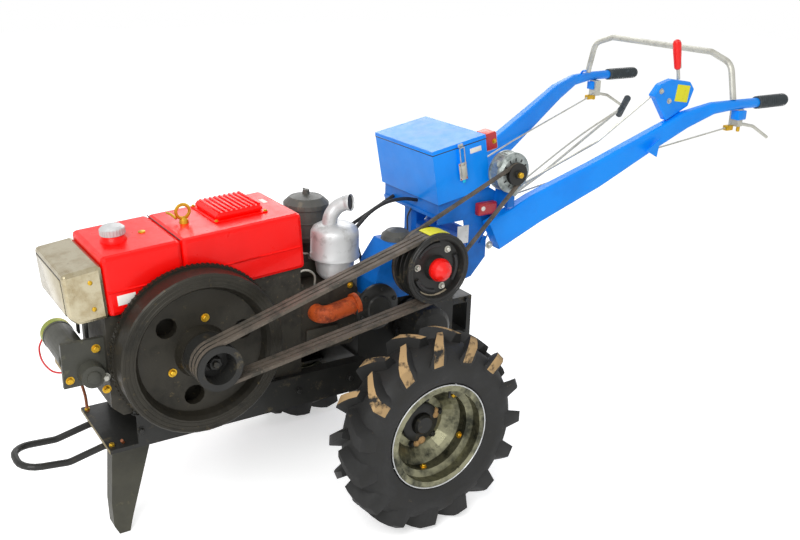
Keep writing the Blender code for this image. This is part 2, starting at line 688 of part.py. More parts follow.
def gearbox(parent):
    """The gearbox case, its round side cover, the blue clutch housing and the grey dome beside it."""
    case = [
        (GEARBOX_FRONT, 0.030), (-0.040, -0.050), (0.040, -0.085), (0.200, -0.070), (GEARBOX_REAR, 0.030),
        (GEARBOX_REAR, 0.250), (0.265, GEARBOX_TOP), (0.010, GEARBOX_TOP), (GEARBOX_FRONT, 0.270),
    ]
    gears = prism("gearbox_case", case, -GEARBOX_HALF, GEARBOX_HALF, "black_paint", parent)
    start = GEARBOX_HALF - 0.002
    cover = turned("side_cover", [(start, 0), (start, 0.088), (start + 0.017, 0.088), (start + 0.022, 0.074),
                                  (0.200, 0.070), (0.212, 0.055), (0.214, 0)],
                   "black_paint", parent, (0, 0.150, 0.215), sides=28)
    merge(gears, cover)

    foot = GEARBOX_TOP + GAP
    pedestal = [
        (-0.048, foot), (0.158, foot), (0.158, 0.470), (0.120, HOUSING_TOP), (0.012, HOUSING_TOP),
        (-0.032, 0.450), (-0.048, 0.395),
    ]
    housing = prism("clutch_housing", pedestal, 0.060, 0.170, "blue_paint", parent)
    end = CHARGE_BELT_X - 0.010 - GAP
    profile = [(0.150, 0), (0.150, 0.038), (end - 0.020, 0.038), (end - 0.012, 0.030), (end, 0.030), (end, 0)]
    snout = turned("clutch_snout", profile, "blue_paint", parent, CLUTCH_AXLE, sides=24)
    merge(housing, snout)
    dome = HOUSING_TOP + GAP
    profile = [(dome, 0), (dome, 0.050), (dome + 0.014, 0.047), (dome + 0.027, 0.032), (dome + 0.034, 0)]
    turned("clutch_dome", profile, "grey_paint", parent, (0.114, 0.062, 0), "Z", 28)


def hitch(parent):
    """The drawbar bracket on the rear of the gearbox, with its open pin window."""
    front = GEARBOX_REAR + GAP
    outline = [(front, 0.085), (0.415, 0.085), (0.415, 0.235), (front, 0.235)]
    bracket = prism("hitch_bracket", outline, -0.060, 0.060, "black_paint", parent)
    window = block("hitch_window", (-0.070, 0.070), (front + 0.018, 0.397), (0.108, 0.212),
                   "black_paint", parent)
    pin = turned("hitch_pin_hole", [(0.070, 0), (0.070, 0.0125), (0.250, 0.0125), (0.250, 0)], "black_paint",
                 parent, (0, 0.362, 0), "Z", 20)
    return cut(bracket, window, pin)


def handlebar_base(parent):
    """The blue seat on the rear of the gearbox that the handlebars and the box are bolted to."""
    foot = GEARBOX_TOP + GAP
    outline = [
        (0.262, foot), (0.330, 0.350), (BASE_REAR, 0.410), (BASE_REAR, BASE_TOP + 0.020),
        (0.372, BASE_TOP + 0.020), (0.362, BASE_TOP), (0.300, BASE_TOP), (0.280, 0.430), (0.255, 0.400),
    ]
    seat = prism("handlebar_base", outline, -BASE_HALF, BASE_HALF, "blue_paint", parent)
    deck = block("base_deck", (-DECK_HALF, DECK_HALF), (0.165, 0.300), (foot, DECK_TOP), "blue_paint", parent)
    return merge(seat, deck)


# ---------------------------------------------------------------- battery box


def battery_box(parent):
    """The folded sheet box, its hinged lid and the lamps, in a frame that slopes up to the rear."""
    slope = empty("box_slope", (0, BOX_Y, BOX_Z), parent, BOX_PITCH)
    low, rim = -BOX_DEPTH, -LID_LIP - GAP
    box = block("battery_box", (-BOX_HALF, BOX_HALF), (0, BOX_LENGTH), (low, rim), "blue_paint", slope)
    inside = block("box_inside", (-BOX_HALF + BOX_SHEET, BOX_HALF - BOX_SHEET),
                   (BOX_SHEET, BOX_LENGTH - BOX_SHEET), (low + BOX_SHEET, 0.010), "blue_paint", slope)
    latch = block("latch_body", (BOX_HALF - 0.001, BOX_HALF + 0.007), (0.092, 0.110), (-0.100, rim - 0.004),
                  "blue_paint", slope)
    pin_radius = 0.004
    pin_x = -BOX_HALF - pin_radius - 0.0005
    pin_z = -LID_LIP
    fifth = BOX_LENGTH / 5

    def knuckle(name, start, end, holder, at, drop):
        """A hinge barrel and the leaf that joins it to the sheet below (drop -1) or above it (drop 1)."""
        barrel = turned(name, [(start, 0), (start, pin_radius), (end, pin_radius), (end, 0)], "blue_paint",
                        holder, at, "Y", 12)
        leaf = block(name + "_leaf", (-0.001, -BOX_HALF + 0.0015 - pin_x), (start, end),
                     sorted((drop * 0.004, 0)), "blue_paint", holder, at)
        return barrel, leaf

    hinge = empty("lid_hinge", (pin_x, 0, pin_z), slope)
    cut(box, inside)
    pin = (pin_x, 0, pin_z)
    merge(box, latch, *knuckle("box_knuckle", 2 * fifth + GAP, 3 * fifth - GAP, slope, pin, -1))

    lid = block("box_lid", (-BOX_HALF - pin_x, BOX_HALF - pin_x), (0, BOX_LENGTH), (0, LID_LIP),
                "blue_paint", hinge)
    under = block("lid_inside", (-BOX_HALF - pin_x + BOX_SHEET, BOX_HALF - pin_x - BOX_SHEET),
                  (BOX_SHEET, BOX_LENGTH - BOX_SHEET), (-0.010, LID_LIP - BOX_SHEET), "blue_paint", hinge)
    catch = block("lid_catch", (BOX_HALF - pin_x - 0.001, BOX_HALF - pin_x + 0.006), (0.094, 0.108),
                  (0.0005, LID_LIP - 0.001), "blue_paint", hinge)
    cut(lid, under)
    merge(lid, catch, *knuckle("lid_knuckle_a", fifth, 2 * fifth - GAP, hinge, (0, 0, 0), 1),
          *knuckle("lid_knuckle_b", 3 * fifth + GAP, 4 * fifth, hinge, (0, 0, 0), 1))

    back = BOX_LENGTH + GAP
    lamp = block("lamp_box", (0.100, 0.160), (back, back + 0.050), (-0.062, -0.006), "red_plastic", slope)
    soften(lamp, 0.004, 1)

    tray = block("box_support", (-BASE_HALF, BASE_HALF), (0.006, BOX_LENGTH),
                 (low - GAP - SUPPORT_SHEET, low - GAP), "blue_paint", slope)
    foot = BASE_TOP + GAP
    deep = (BOX_DEPTH + SUPPORT_SHEET) / math.cos(BOX_PITCH)
    front_y = BOX_Y + (BOX_DEPTH + SUPPORT_SHEET) * math.sin(BOX_PITCH) + 0.006

    def underside(y):
        return BOX_Z - deep + (y - BOX_Y) * math.tan(BOX_PITCH)

    cheek = [
        (front_y, 0.545), (0.290, 0.548), (0.308, foot), (0.350, foot), (0.445, 0.575), (0.445, 0.612),
        (0.385, underside(0.385) + 0.001), (front_y, underside(front_y) + 0.001),
    ]
    plates = [
        prism(f"support_cheek_{side}", cheek, *sorted((sign * BASE_HALF, sign * (BASE_HALF - SUPPORT_SHEET))),
              "blue_paint", parent)
        for side, sign in (("left", 1), ("right", -1))
    ]
    apron = block("support_apron", (-BASE_HALF + 0.001, BASE_HALF - 0.001),
                  (front_y, front_y + SUPPORT_SHEET),
                  (underside(front_y) - 0.048, underside(front_y) + 0.002), "blue_paint", parent)
    post = block("support_post", (-0.035, 0.005), (front_y + 0.001, front_y + 0.022),
                 (DECK_TOP + GAP, underside(front_y) + 0.003), "blue_paint", parent)
    lug = ALTERNATOR.z - ALTERNATOR_RADIUS - GAP
    arm = block("alternator_arm", (BASE_HALF - 0.001, ALTERNATOR_OUTER - 0.014), (0.412, 0.440), (0.590, lug),
                "blue_paint", parent)
    merge(tray, *plates, apron, post, arm)
    soften(block("marker_lamp", (BASE_HALF + GAP, BASE_HALF + 0.024), (0.330, 0.405), (0.560, 0.602),
                 "red_plastic", parent), 0.006, 2)


# ---------------------------------------------------------------- handlebars and levers


def handlebar_at(y):
    """x and z of the handlebar's middle and its depth at this y, on the left side."""
    for near, far in zip(HANDLEBAR, HANDLEBAR[1:]):
        if near[1] <= y <= far[1]:
            share = (y - near[1]) / (far[1] - near[1])
            return [a + (b - a) * share for a, b in zip(near, far)]
    return HANDLEBAR[-1]


def handlebar(side, sign, parent):
    """A tapering beam that runs out into a round tube, and its rubber grip."""
    shape = bmesh.new()
    rings = []
    count = 16
    for i, (x, y, z, width, depth, square) in enumerate(HANDLEBAR):
        before = HANDLEBAR[max(i - 1, 0)]
        after = HANDLEBAR[min(i + 1, len(HANDLEBAR) - 1)]
        heading = Vector((0, after[1] - before[1], after[2] - before[2])).normalized()
        up = Vector((0, -heading.z, heading.y))
        ring = []
        for k in range(count):
            a = 2 * math.pi * (k + 0.5) / count
            c, s = math.cos(a), math.sin(a)
            across = math.copysign(abs(c) ** (2 / square), c) * width / 2
            tall = math.copysign(abs(s) ** (2 / square), s) * depth / 2
            ring.append(shape.verts.new(Vector((sign * (x + across), y, z)) + up * tall))
        rings.append(ring)
    ring_skin(shape, rings)
    solid(f"handlebar_{side}", shape, "blue_paint", parent, smooth=True)
    x, y, z = HANDLEBAR[-1][:3]
    tube = HANDLEBAR[-1][3] / 2
    grip = [
        (GRIP_FRONT, tube + 2 * GAP), (GRIP_FRONT, GRIP_RADIUS + 0.003),
        (GRIP_FRONT + 0.008, GRIP_RADIUS + 0.003), (GRIP_FRONT + 0.012, GRIP_RADIUS),
        (REAR_REACH - 0.006, GRIP_RADIUS), (REAR_REACH, GRIP_RADIUS - 0.005), (REAR_REACH, 0),
        (y + GAP, 0), (y + GAP, tube + 2 * GAP),
    ]
    turned(f"grip_{side}", grip, "black_plastic", parent, (sign * x, 0, z), "Y", 24)


def levers(parent):
    """The arch bar, the clutch quadrant and lever, the gear lever and the steering levers with their rods."""
    tube_top = handlebar_at(ARCH_Y)
    foot = tube_top[2] + tube_top[4] / 2 + 0.001
    arch_x = tube_top[0]
    path = [(arch_x, ARCH_Y, foot), (ARCH_HALF, ARCH_Y, ARCH_TOP - 0.030), (0.240, ARCH_Y, ARCH_TOP),
            (-0.240, ARCH_Y, ARCH_TOP), (-ARCH_HALF, ARCH_Y, ARCH_TOP - 0.030), (-arch_x, ARCH_Y, foot)]
    bar("arch_bar", path, ARCH_BAR, "bare_steel", parent, bend=0.050)

    seat_a, seat_b = handlebar_at(1.000), handlebar_at(1.100)
    lift = 0.008
    quadrant = [
        (1.000, seat_a[2] + seat_a[4] / 2 + lift), (1.100, seat_b[2] + seat_b[4] / 2 + lift), (1.122, 0.937),
        (1.100, 0.962), (1.010, 0.976), (0.955, 0.962), (0.925, 0.927), (0.940, 0.915),
    ]
    soften(prism("lever_quadrant", quadrant, 0.288, 0.316, "blue_paint", parent), 0.004, 1)
    lever = bar("clutch_lever", [(0.302, 1.050, 0.9722), (0.302, 1.022, 1.095)], 0.006, "bare_steel", parent)
    path = [(0.302, 1.042, 1.010), (0.302, 1.021, 1.100)]
    knob = bar("clutch_knob", path, 0.011, "red_plastic", parent, 16)
    merge(lever, knob)
    path = [(0.2835, 0.945, 0.918), (0.205, 0.800, 0.765), (0.120, 0.480, 0.600),
            (0.115, BASE_REAR + 0.0041, 0.470)]
    bar("clutch_rod", path, 0.004, "bare_steel", parent, 8, bend=0.060)

    path = [(0, 1.120, 0.827), (0, 0.741, 0.611), (0, BASE_REAR + 0.0025, 0.440)]
    tee = bar("gear_lever", path, 0.005, "bare_steel", parent, 8)
    path = [(-0.045, 1.149, 0.787), (0.045, 1.091, 0.867)]
    handle = bar("gear_handle", path, 0.011, "black_plastic", parent, 12)
    merge(tee, handle)

    for side, sign in (("left", 1), ("right", -1)):
        clamp_at = handlebar_at(1.315)
        x = clamp_at[0]
        under = clamp_at[2] - clamp_at[4] / 2 - GAP
        pivot = block(f"steering_lever_{side}", sorted((sign * (x - 0.030), sign * (x + 0.008))),
                      (1.302, 1.328), (0.802, under), "bare_steel", parent)
        path = [(sign * (x - 0.018), 1.268, 0.793), (sign * (x - 0.018), 1.315, 0.812),
                (sign * x, 1.400, 0.795), (sign * x, 1.488, 0.748)]
        grip = bar(f"steering_grip_{side}", path, 0.006, "bare_steel", parent, 8, bend=0.030)
        path = [(sign * (x - 0.018), 1.276, 0.796), (sign * 0.225, 0.800, 0.688),
                (sign * 0.145, 0.470, 0.600), (sign * 0.140, BASE_REAR + 0.003, 0.450)]
        merge(pivot, grip, bar(f"steering_rod_{side}", path, 0.003, "bare_steel", parent, 6, bend=0.060))


# ---------------------------------------------------------------- assembly

machine = empty("machine", (0, (FRONT_REACH - REAR_REACH) / 2, WHEEL_RADIUS))
leg_axis = empty("leg_pivot", LEG_PIVOT, machine)

for wheel_side, wheel_sign in (("left", 1), ("right", -1)):
    wheel(wheel_side, wheel_sign, machine)
    axle_housing(wheel_side, wheel_sign, machine)
    handlebar(wheel_side, wheel_sign, machine)
frame(machine)
stand_leg(leg_axis)
bumper(machine)
engine(machine)
hood(machine)
air_filter(machine)
muffler(machine)
exhaust_elbow(machine)
starter(machine)
flywheel(machine)
drive(machine)
gearbox(machine)
hitch(machine)
handlebar_base(machine)
battery_box(machine)
levers(machine)
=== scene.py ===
# %% [markdown]
# # A walking tractor, finished for rendering
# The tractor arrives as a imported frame: every piece is already in its place, in metres, with the
# ground at z = 0, the front toward -Y and the flywheel on the +X side. This lesson gives each
# piece its real finish and adds what was too small for the frame: tyre lugs, bolts, ribs, wires.
# Positions are never guessed. They come from the boxes of the pieces that are already there.

# %% Load the frame
import math
import bmesh
import bpy
from mathutils import Matrix, Vector


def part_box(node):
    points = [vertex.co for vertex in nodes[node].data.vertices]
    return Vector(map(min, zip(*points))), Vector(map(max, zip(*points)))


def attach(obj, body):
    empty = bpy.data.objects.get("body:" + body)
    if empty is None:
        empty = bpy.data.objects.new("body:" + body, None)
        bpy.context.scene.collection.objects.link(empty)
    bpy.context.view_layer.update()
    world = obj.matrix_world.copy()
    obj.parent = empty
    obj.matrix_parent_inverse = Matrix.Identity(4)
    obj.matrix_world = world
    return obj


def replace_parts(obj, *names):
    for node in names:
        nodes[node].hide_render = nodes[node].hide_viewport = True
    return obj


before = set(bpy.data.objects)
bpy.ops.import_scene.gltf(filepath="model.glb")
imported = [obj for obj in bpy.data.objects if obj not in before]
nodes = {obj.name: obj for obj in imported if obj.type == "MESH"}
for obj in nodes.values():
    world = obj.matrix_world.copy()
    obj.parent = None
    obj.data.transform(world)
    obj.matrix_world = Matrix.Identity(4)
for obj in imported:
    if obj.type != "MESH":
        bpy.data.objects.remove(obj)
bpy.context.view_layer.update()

# %% [markdown]
# ## One place to measure from
# A tractor is built round its axle, so every added piece is placed from the middle of the axle.
# The tyre's own box gives that point, and it moves with the frame if the frame ever changes.

# %% The axle
tyre_low, tyre_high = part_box("tyre_left")
TYRE_RADIUS = (tyre_high.z - tyre_low.z) / 2
AXLE = Vector((0.0, (tyre_low.y + tyre_high.y) / 2, TYRE_RADIUS))


def at(x, y, z):
    """World place of a point measured from the middle of the axle."""
    return AXLE + Vector((x, y, z))


def middle(node):
    """Centre of a frame node's box."""
    low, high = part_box(node)
    return (low + high) / 2


print("axle at", tuple(round(v, 4) for v in AXLE), "tyre radius", round(TYRE_RADIUS, 3))

# %% [markdown]
# ## Camera
# The tractor is seen from its front left and a little above, with a normal lens. A camera looks
# along its own -Z, so its matrix is built from three directions: right, up and backward. The
# small roll is part of a hand-held view.

# %% Camera
VIEW_TURN = 0.986
VIEW_DROP = 0.345
VIEW_ROLL = 0.029
look = Vector((
    -math.sin(VIEW_TURN) * math.cos(VIEW_DROP),
    math.cos(VIEW_TURN) * math.cos(VIEW_DROP),
    -math.sin(VIEW_DROP),
))
right = Vector((math.cos(VIEW_TURN), math.sin(VIEW_TURN), 0.0))
up = right.cross(look)
turned_right = right * math.cos(VIEW_ROLL) + up * math.sin(VIEW_ROLL)
turned_up = up * math.cos(VIEW_ROLL) - right * math.sin(VIEW_ROLL)
camera = bpy.data.objects.new("camera", bpy.data.cameras.new("camera"))
bpy.context.scene.collection.objects.link(camera)
camera.matrix_world = Matrix.Translation(at(2.476, -1.485, 1.419)) @ Matrix(
    (turned_right, turned_up, -look)
).transposed().to_4x4()
camera.data.sensor_width = 36.0
camera.data.lens = 42.64
bpy.context.scene.camera = camera
bpy.context.scene.view_settings.view_transform = "Standard"
print("camera at", tuple(round(v, 3) for v in camera.location), "lens", camera.data.lens)

# %% [markdown]
# ## Colours and shader nodes
# Screen colours are written as sRGB hex codes, but a renderer adds light, so it needs linear
# values. One function turns them. A second one adds any shader node: its first dictionary holds
# the node's sockets, each set to a value or linked to another node's output.

# %% Colours and shader nodes


def colour(code):
    """Linear red, green, blue and alpha from an sRGB hex code."""
    parts = [int(code[i:i + 2], 16) / 255 for i in (1, 3, 5)]
    return (*[p / 12.92 if p <= 0.04045 else ((p + 0.055) / 1.055) ** 2.4 for p in parts], 1.0)


def add(material, kind, sockets=None, stops=None, **settings):
    """A new shader node with its settings; stops are a colour ramp's (place, hex code) pairs."""
    node = material.node_tree.nodes.new("ShaderNode" + kind)
    for key, value in settings.items():
        setattr(node, key, value)
    for key, value in (sockets or {}).items():
        if isinstance(value, bpy.types.NodeSocket):
            material.node_tree.links.new(value, node.inputs[key])
        else:
            node.inputs[key].default_value = value
    for place, code in stops or ():
        near = [e for e in node.color_ramp.elements if abs(e.position - place) < 1e-4]
        (near[0] if near else node.color_ramp.elements.new(place)).color = colour(code)
    return node


# %% [markdown]
# ## Patterns and layers
# A real finish is never one flat colour. Noise whose size is given in real millimetres makes
# blotches; they mix a second colour over the base, break up the gloss and raise a small relief.

# %% Surfaces and their patterns
MM = 0.001  # pattern sizes below are in real millimetres


def surface(name, roughness, metallic=0.0, coat=0.0):
    """A new material, its Principled shader and the coordinates its patterns are drawn in."""
    material = bpy.data.materials.new(name)
    material.use_nodes = True
    shader = material.node_tree.nodes["Principled BSDF"]
    shader.inputs["Roughness"].default_value = roughness
    shader.inputs["Metallic"].default_value = metallic
    shader.inputs["Coat Weight"].default_value = coat
    shader.inputs["Coat Roughness"].default_value = 0.08
    place = add(material, "TexCoord").outputs["Object"]
    return material, shader, place


def pattern(material, place, size_mm, detail=4.0, roughness=0.6):
    """Cloudy noise whose blotches are about this wide, from 0 to 1."""
    return add(material, "TexNoise", {
        "Vector": place, "Scale": 1 / (size_mm * MM), "Detail": detail, "Roughness": roughness,
    }).outputs["Fac"]


def paint_on(material, shader, base, layers):
    """Lays colours over a base: each layer is (mask pattern, low, high, hex code)."""
    under = add(material, "RGB")
    under.outputs[0].default_value = colour(base)
    seen = under.outputs[0]
    for mask, low, high, code in layers:
        share = add(material, "MapRange", {"Value": mask, "From Min": low, "From Max": high})
        mixed = add(material, "Mix", {0: share.outputs["Result"], 6: seen, 7: colour(code)},
                    data_type="RGBA")
        seen = mixed.outputs[2]
    material.node_tree.links.new(seen, shader.inputs["Base Color"])


def rough_by(material, shader, mask, low, high):
    """Roughness that follows a mask between two values, so that gloss breaks up."""
    spread = add(material, "MapRange", {
        "Value": mask, "From Min": 0.3, "From Max": 0.7, "To Min": low, "To Max": high,
    })
    material.node_tree.links.new(spread.outputs["Result"], shader.inputs["Roughness"])


def bump(material, shader, height, depth_mm):
    """Small relief from a height pattern, in real millimetres."""
    relief = add(material, "Bump", {"Height": height, "Distance": depth_mm * MM, "Strength": 1.0})
    material.node_tree.links.new(relief.outputs["Normal"], shader.inputs["Normal"])


# %% [markdown]
# ## Sheet-metal paints
# The blue, red, black and grey pieces are enamel sprayed on pressed or cast steel. Sprayed
# enamel is glossy with a faint orange-peel of about 3 mm, and field use leaves dull dust in soft
# blotches some 45 mm wide. The colour stays strong, so the dust layer is thin. Black enamel on
# the frame collects tan soil, so its layer is heavier. The front plate's edge is scuffed to a
# dull tan, and one tab on the clasp has a touch of bright cyan.

# %% Sprayed enamels


def enamel(name, base, shade, dust, dust_from, gloss, peel_mm=3.0, peel_depth=0.02):
    """Sprayed enamel: a slow change of shade, then dust, over an orange-peel surface."""
    material, shader, place = surface(name, gloss, coat=0.10)
    shader.inputs["Specular IOR Level"].default_value = 0.25
    broad = pattern(material, place, 160)
    soil = pattern(material, place, 45, detail=8.0, roughness=0.72)
    layers = [(broad, 0.42, 0.75, shade), (soil, dust_from, dust_from + 0.22, dust)]
    paint_on(material, shader, base, layers)
    rough_by(material, shader, soil, gloss, gloss + 0.22)
    bump(material, shader, pattern(material, place, peel_mm, detail=2.0), peel_depth)
    return material


blue_enamel = enamel("sprayed_blue_enamel", "#008ff8", "#0080ea", "#2f96e0", 0.72, 0.26)
# A darker copy of the blue enamel: painted shade for the pieces that sit under the battery box.
shaded_blue_enamel = enamel("blue_enamel_darkened_as_painted_shade", "#0673d2", "#0557a4", "#4a7aa6",
                          0.62, 0.34)
red_enamel = enamel("sprayed_red_enamel", "#fb0500", "#f00400", "#f5402c", 0.72, 0.24)
black_enamel = enamel("satin_black_enamel", "#262624", "#1c1c1b", "#6b6149", 0.58, 0.38, 6.0, 0.06)
grey_enamel = enamel("grey_enamel_on_castings", "#585854", "#43433f", "#857d6a",
                     0.60, 0.36, 5.0, 0.05)
dark_grey_enamel = enamel("dark_grey_enamel_on_the_starter", "#46463f", "#33332e", "#77745c",
                          0.58, 0.38, 5.0, 0.05)
olive_black = enamel("dusty_black_enamel_on_the_leg", "#4b4a3f", "#3a3932", "#7c7457",
                     0.60, 0.50, 6.0, 0.06)
cyan_paint = enamel("bright_cyan_touch_up_paint", "#12c8e8", "#0fa2c4", "#5fc0d0", 0.75, 0.4)
scuffed = enamel("scuffed_plate_edge", "#8f8468", "#6d6650", "#b5a888", 0.50, 0.5)
print("enamels:", len(bpy.data.materials))

# %% [markdown]
# ## Castings and bare metal
# Iron castings keep the grain of their sand mould, about 2 mm across, and oil darkens them. The
# flywheel is turned, then blued and oiled. The rims are zinc plated and passivated, which gives
# a faint olive and yellow sheen; broad dark blotches on them are partly dirt and partly painted
# shade in the dish. The starter's cap is a stronger green gold. The nose is bright chrome over
# pressed steel; its warm tint and brown hazes are partly tarnish and partly painted reflection.

# %% Metals


def metal(name, roughness, base, layers, metallic, grain_mm, grain_depth, spread=0.2):
    """A metal surface: layers are (blotch in mm, low, high, hex code), grain is its relief."""
    material, shader, place = surface(name, roughness, metallic)
    masks = []
    for size, low, high, code in layers:
        masks.append((pattern(material, place, size, 6.0, 0.65), low, high, code))
    paint_on(material, shader, base, masks)
    rough_by(material, shader, masks[0][0], roughness, roughness + spread)
    bump(material, shader, pattern(material, place, grain_mm, 3.0), grain_depth)
    return material


cast_iron = metal("oily_sand_cast_iron", 0.50, "#35322a", [
    (70, 0.50, 0.70, "#1f1d18"), (14, 0.60, 0.75, "#6a5a40"),
], 0.25, 4.0, 0.35)
flywheel_iron = metal("turned_and_blued_iron", 0.42, "#2b2820", [
    (90, 0.50, 0.72, "#181712"), (22, 0.62, 0.78, "#5b5036"),
], 0.45, 5.0, 0.10)
rust_iron = metal("heat_rusted_iron", 0.50, "#c8541a", [
    (35, 0.45, 0.65, "#7c2e0c"), (9, 0.60, 0.75, "#d9793f"),
], 0.1, 3.5, 0.30)
# The warm tint and brown hazes are partly tarnish and partly painted reflection of brown surroundings.
chrome_plate = metal("chrome_plated_steel", 0.12, "#b3aa90", [
    (60, 0.45, 0.75, "#8f7e5a"), (16, 0.64, 0.82, "#6d5f44"),
], 0.80, 8.0, 0.04, 0.16)
# Broad dark blotches darken much of the rim: partly dirt, partly painted shade in its dish.
zinc_plate = metal("passivated_zinc_plate", 0.26, "#85836a", [
    (85, 0.40, 0.60, "#34352b"), (22, 0.60, 0.76, "#24241d"),
], 0.80, 4.0, 0.05, 0.25)
bare_steel = metal("dull_steel_tube", 0.36, "#bebdb3", [
    (60, 0.50, 0.75, "#96948a"), (8, 0.62, 0.76, "#6f6c62"),
], 0.60, 2.0, 0.05)
silver_paint = metal("aluminium_heat_paint", 0.34, "#c6c7c7", [
    (40, 0.55, 0.80, "#8e8c88"), (10, 0.66, 0.80, "#6d6862"),
], 0.45, 3.0, 0.04)
alternator_metal = metal("die_cast_aluminium", 0.40, "#a3aaa7", [
    (22, 0.50, 0.70, "#6b7471"), (6, 0.64, 0.78, "#4a5250"),
], 0.70, 2.0, 0.15)
brass = metal("yellow_passivated_steel", 0.30, "#c9a02c", [(12, 0.55, 0.75, "#7d5d16")], 0.80, 2.0, 0.05)
olive_cap = metal("green_gold_passivated_cap", 0.34, "#8f9a3c", [
    (26, 0.50, 0.62, "#a3982c"), (9, 0.62, 0.78, "#4f5a22"),
], 0.55, 3.0, 0.05)
print("materials so far:", len(bpy.data.materials))

# %% [markdown]
# ## Rubber, belts and plastics
# Tyre rubber is nearly black and dull. The tops of the bars that point up are tan, partly dried
# soil and partly painted light on their lit tops. A V-belt has a cloth cover that polishes to grey
# brown. The clutch cap and lamps are moulded red plastic, and the switch block is tan. Stickers
# stay blank. The pale painted highlight and dried soil are matt and grainy.

# %% Soft and moulded materials


def moulded(name, roughness, base, layers, grain_mm, grain_depth):
    """A non-metal moulding: layers as for a metal."""
    return metal(name, roughness, base, layers, 0.0, grain_mm, grain_depth)


tyre_rubber = moulded("moulded_tyre_rubber", 0.62, "#111110", [
    (80, 0.50, 0.72, "#1d1c19"), (30, 0.66, 0.78, "#4d4332"),
], 5.0, 0.15)
lug_soil_and_lit_tops = moulded("tyre_rubber_with_soil_and_painted_light", 0.80, "#1a1917", [
    (60, 0.40, 0.50, "#b39468"), (9, 0.62, 0.76, "#5d4e38"),
], 6.0, 0.40)
belt_cloth = moulded("rubberised_belt_cloth", 0.60, "#5b5248", [
    (60, 0.45, 0.65, "#39362f"), (7, 0.58, 0.72, "#7d7162"),
], 2.5, 0.12)
red_plastic = moulded("moulded_red_plastic", 0.24, "#ee0f08", [(50, 0.55, 0.8, "#b80503")], 6.0, 0.02)
lamp_red = moulded("clear_red_lens_plastic", 0.16, "#b3262f", [(30, 0.5, 0.75, "#7d1530")], 2.5, 0.10)
grip_rubber = moulded("ribbed_grip_rubber", 0.55, "#343c3f", [(20, 0.55, 0.75, "#59656a")], 3.0, 0.10)
cable_black = moulded("black_cable_sleeve", 0.45, "#1b1b1b", [(15, 0.6, 0.8, "#3a3a38")], 2.0, 0.03)
rust_cable = moulded("faded_orange_cable_sleeve", 0.50, "#8a4a22", [(15, 0.5, 0.8, "#4e2a14")], 2.0, 0.03)
red_wire = moulded("red_wire_sleeve", 0.35, "#c8141a", [(15, 0.6, 0.8, "#7d0d10")], 2.0, 0.02)
blank_white = moulded("blank_white_sticker", 0.35, "#e9e4dc", [(12, 0.6, 0.8, "#c4b8a4")], 4.0, 0.01)
blank_yellow = moulded("blank_yellow_sticker", 0.35, "#e6e010", [(12, 0.6, 0.8, "#bfa90c")], 4.0, 0.01)
tan_block = moulded("tan_moulded_switch_block", 0.55, "#a08f66", [(18, 0.55, 0.78, "#6f6244")], 4.0, 0.10)
pink_plastic = moulded("clear_pink_lens_plastic", 0.30, "#f06a5a", [(20, 0.5, 0.75, "#d83a30")], 3.0, 0.03)
# A pale matt finish, used only as a painted highlight in the clutch recess.
pale_highlight_paint = moulded("painted_pale_highlight", 0.95, "#9a8f7a", [(14, 0.5, 0.7, "#5c564a")], 2.0, 0.30)
soil = moulded("dried_tan_field_soil", 0.95, "#c09a68", [
    (10, 0.5, 0.7, "#8e6d44"), (4, 0.6, 0.75, "#d8b88a"),
], 3.0, 0.5)
print("materials so far:", len(bpy.data.materials))

# %% [markdown]
# ## Giving each frame piece its finish
# The frame's pieces keep their shapes. Each one's material slot takes the finish of the real
# piece. One table lists which pieces share a finish.

# %% Finishes of the frame pieces
FINISH_OF = {
    blue_enamel: ["battery_box", "box_lid", "handlebar_left", "handlebar_right", "lever_quadrant"],
    # These pieces sit under the box; their darker blue is painted shade.
    shaded_blue_enamel: ["clutch_housing", "handlebar_base", "box_support"],
    red_enamel: ["fuel_tank", "radiator_hood", "radiator_cap"],
    black_enamel: ["hub_left", "hub_right", "axle_housing_left", "axle_housing_right", "chassis_frame",
                   "bumper_loop", "hub_pulley", "clutch_pulley", "alternator_pulley", "gearbox_case",
                   "hitch_bracket"],
    olive_black: ["stand_leg"],
    grey_enamel: ["air_filter", "clutch_dome"],
    cast_iron: ["engine_block", "cylinder_head"],
    flywheel_iron: ["flywheel"],
    rust_iron: ["exhaust_elbow"],
    chrome_plate: ["nose_cover"],
    zinc_plate: ["rim_left", "rim_right"],
    dark_grey_enamel: ["starter_motor"],
    brass: ["lifting_eye"],
    silver_paint: ["filler_cap", "muffler"],
    alternator_metal: ["alternator"],
    bare_steel: ["arch_bar", "clutch_lever", "clutch_rod", "gear_lever", "steering_lever_left",
                 "steering_lever_right"],
    tyre_rubber: ["tyre_left", "tyre_right"],
    belt_cloth: ["v_belt_1", "v_belt_2", "v_belt_3", "alternator_belt"],
    red_plastic: ["clutch_cap"],
    lamp_red: ["lamp_box", "marker_lamp"],
    grip_rubber: ["grip_left", "grip_right"],
}
for material, names in FINISH_OF.items():
    for name in names:
        nodes[name].data.materials.clear()
        nodes[name].data.materials.append(material)
print("pieces with a finish:", sum(len(names) for names in FINISH_OF.values()), "of", len(nodes))

# %% [markdown]
# ## An even white world
# An even white world shows the machine without a room round it. Rays that reach the camera, a
# mirror or glass see plain white. The light that falls on the tractor is set a little lower.

# %% World
AMBIENT = 0.54


def seen_or_mirrored(tree, path):
    """One for a ray from the camera, a mirror or glass, and nought for light that falls on things."""
    rays = path.outputs["Is Camera Ray"]
    for kind in ("Is Glossy Ray", "Is Transmission Ray"):
        either = tree.nodes.new("ShaderNodeMath")
        either.operation = "MAXIMUM"
        tree.links.new(rays, either.inputs[0])
        tree.links.new(path.outputs[kind], either.inputs[1])
        rays = either.outputs[0]
    return rays


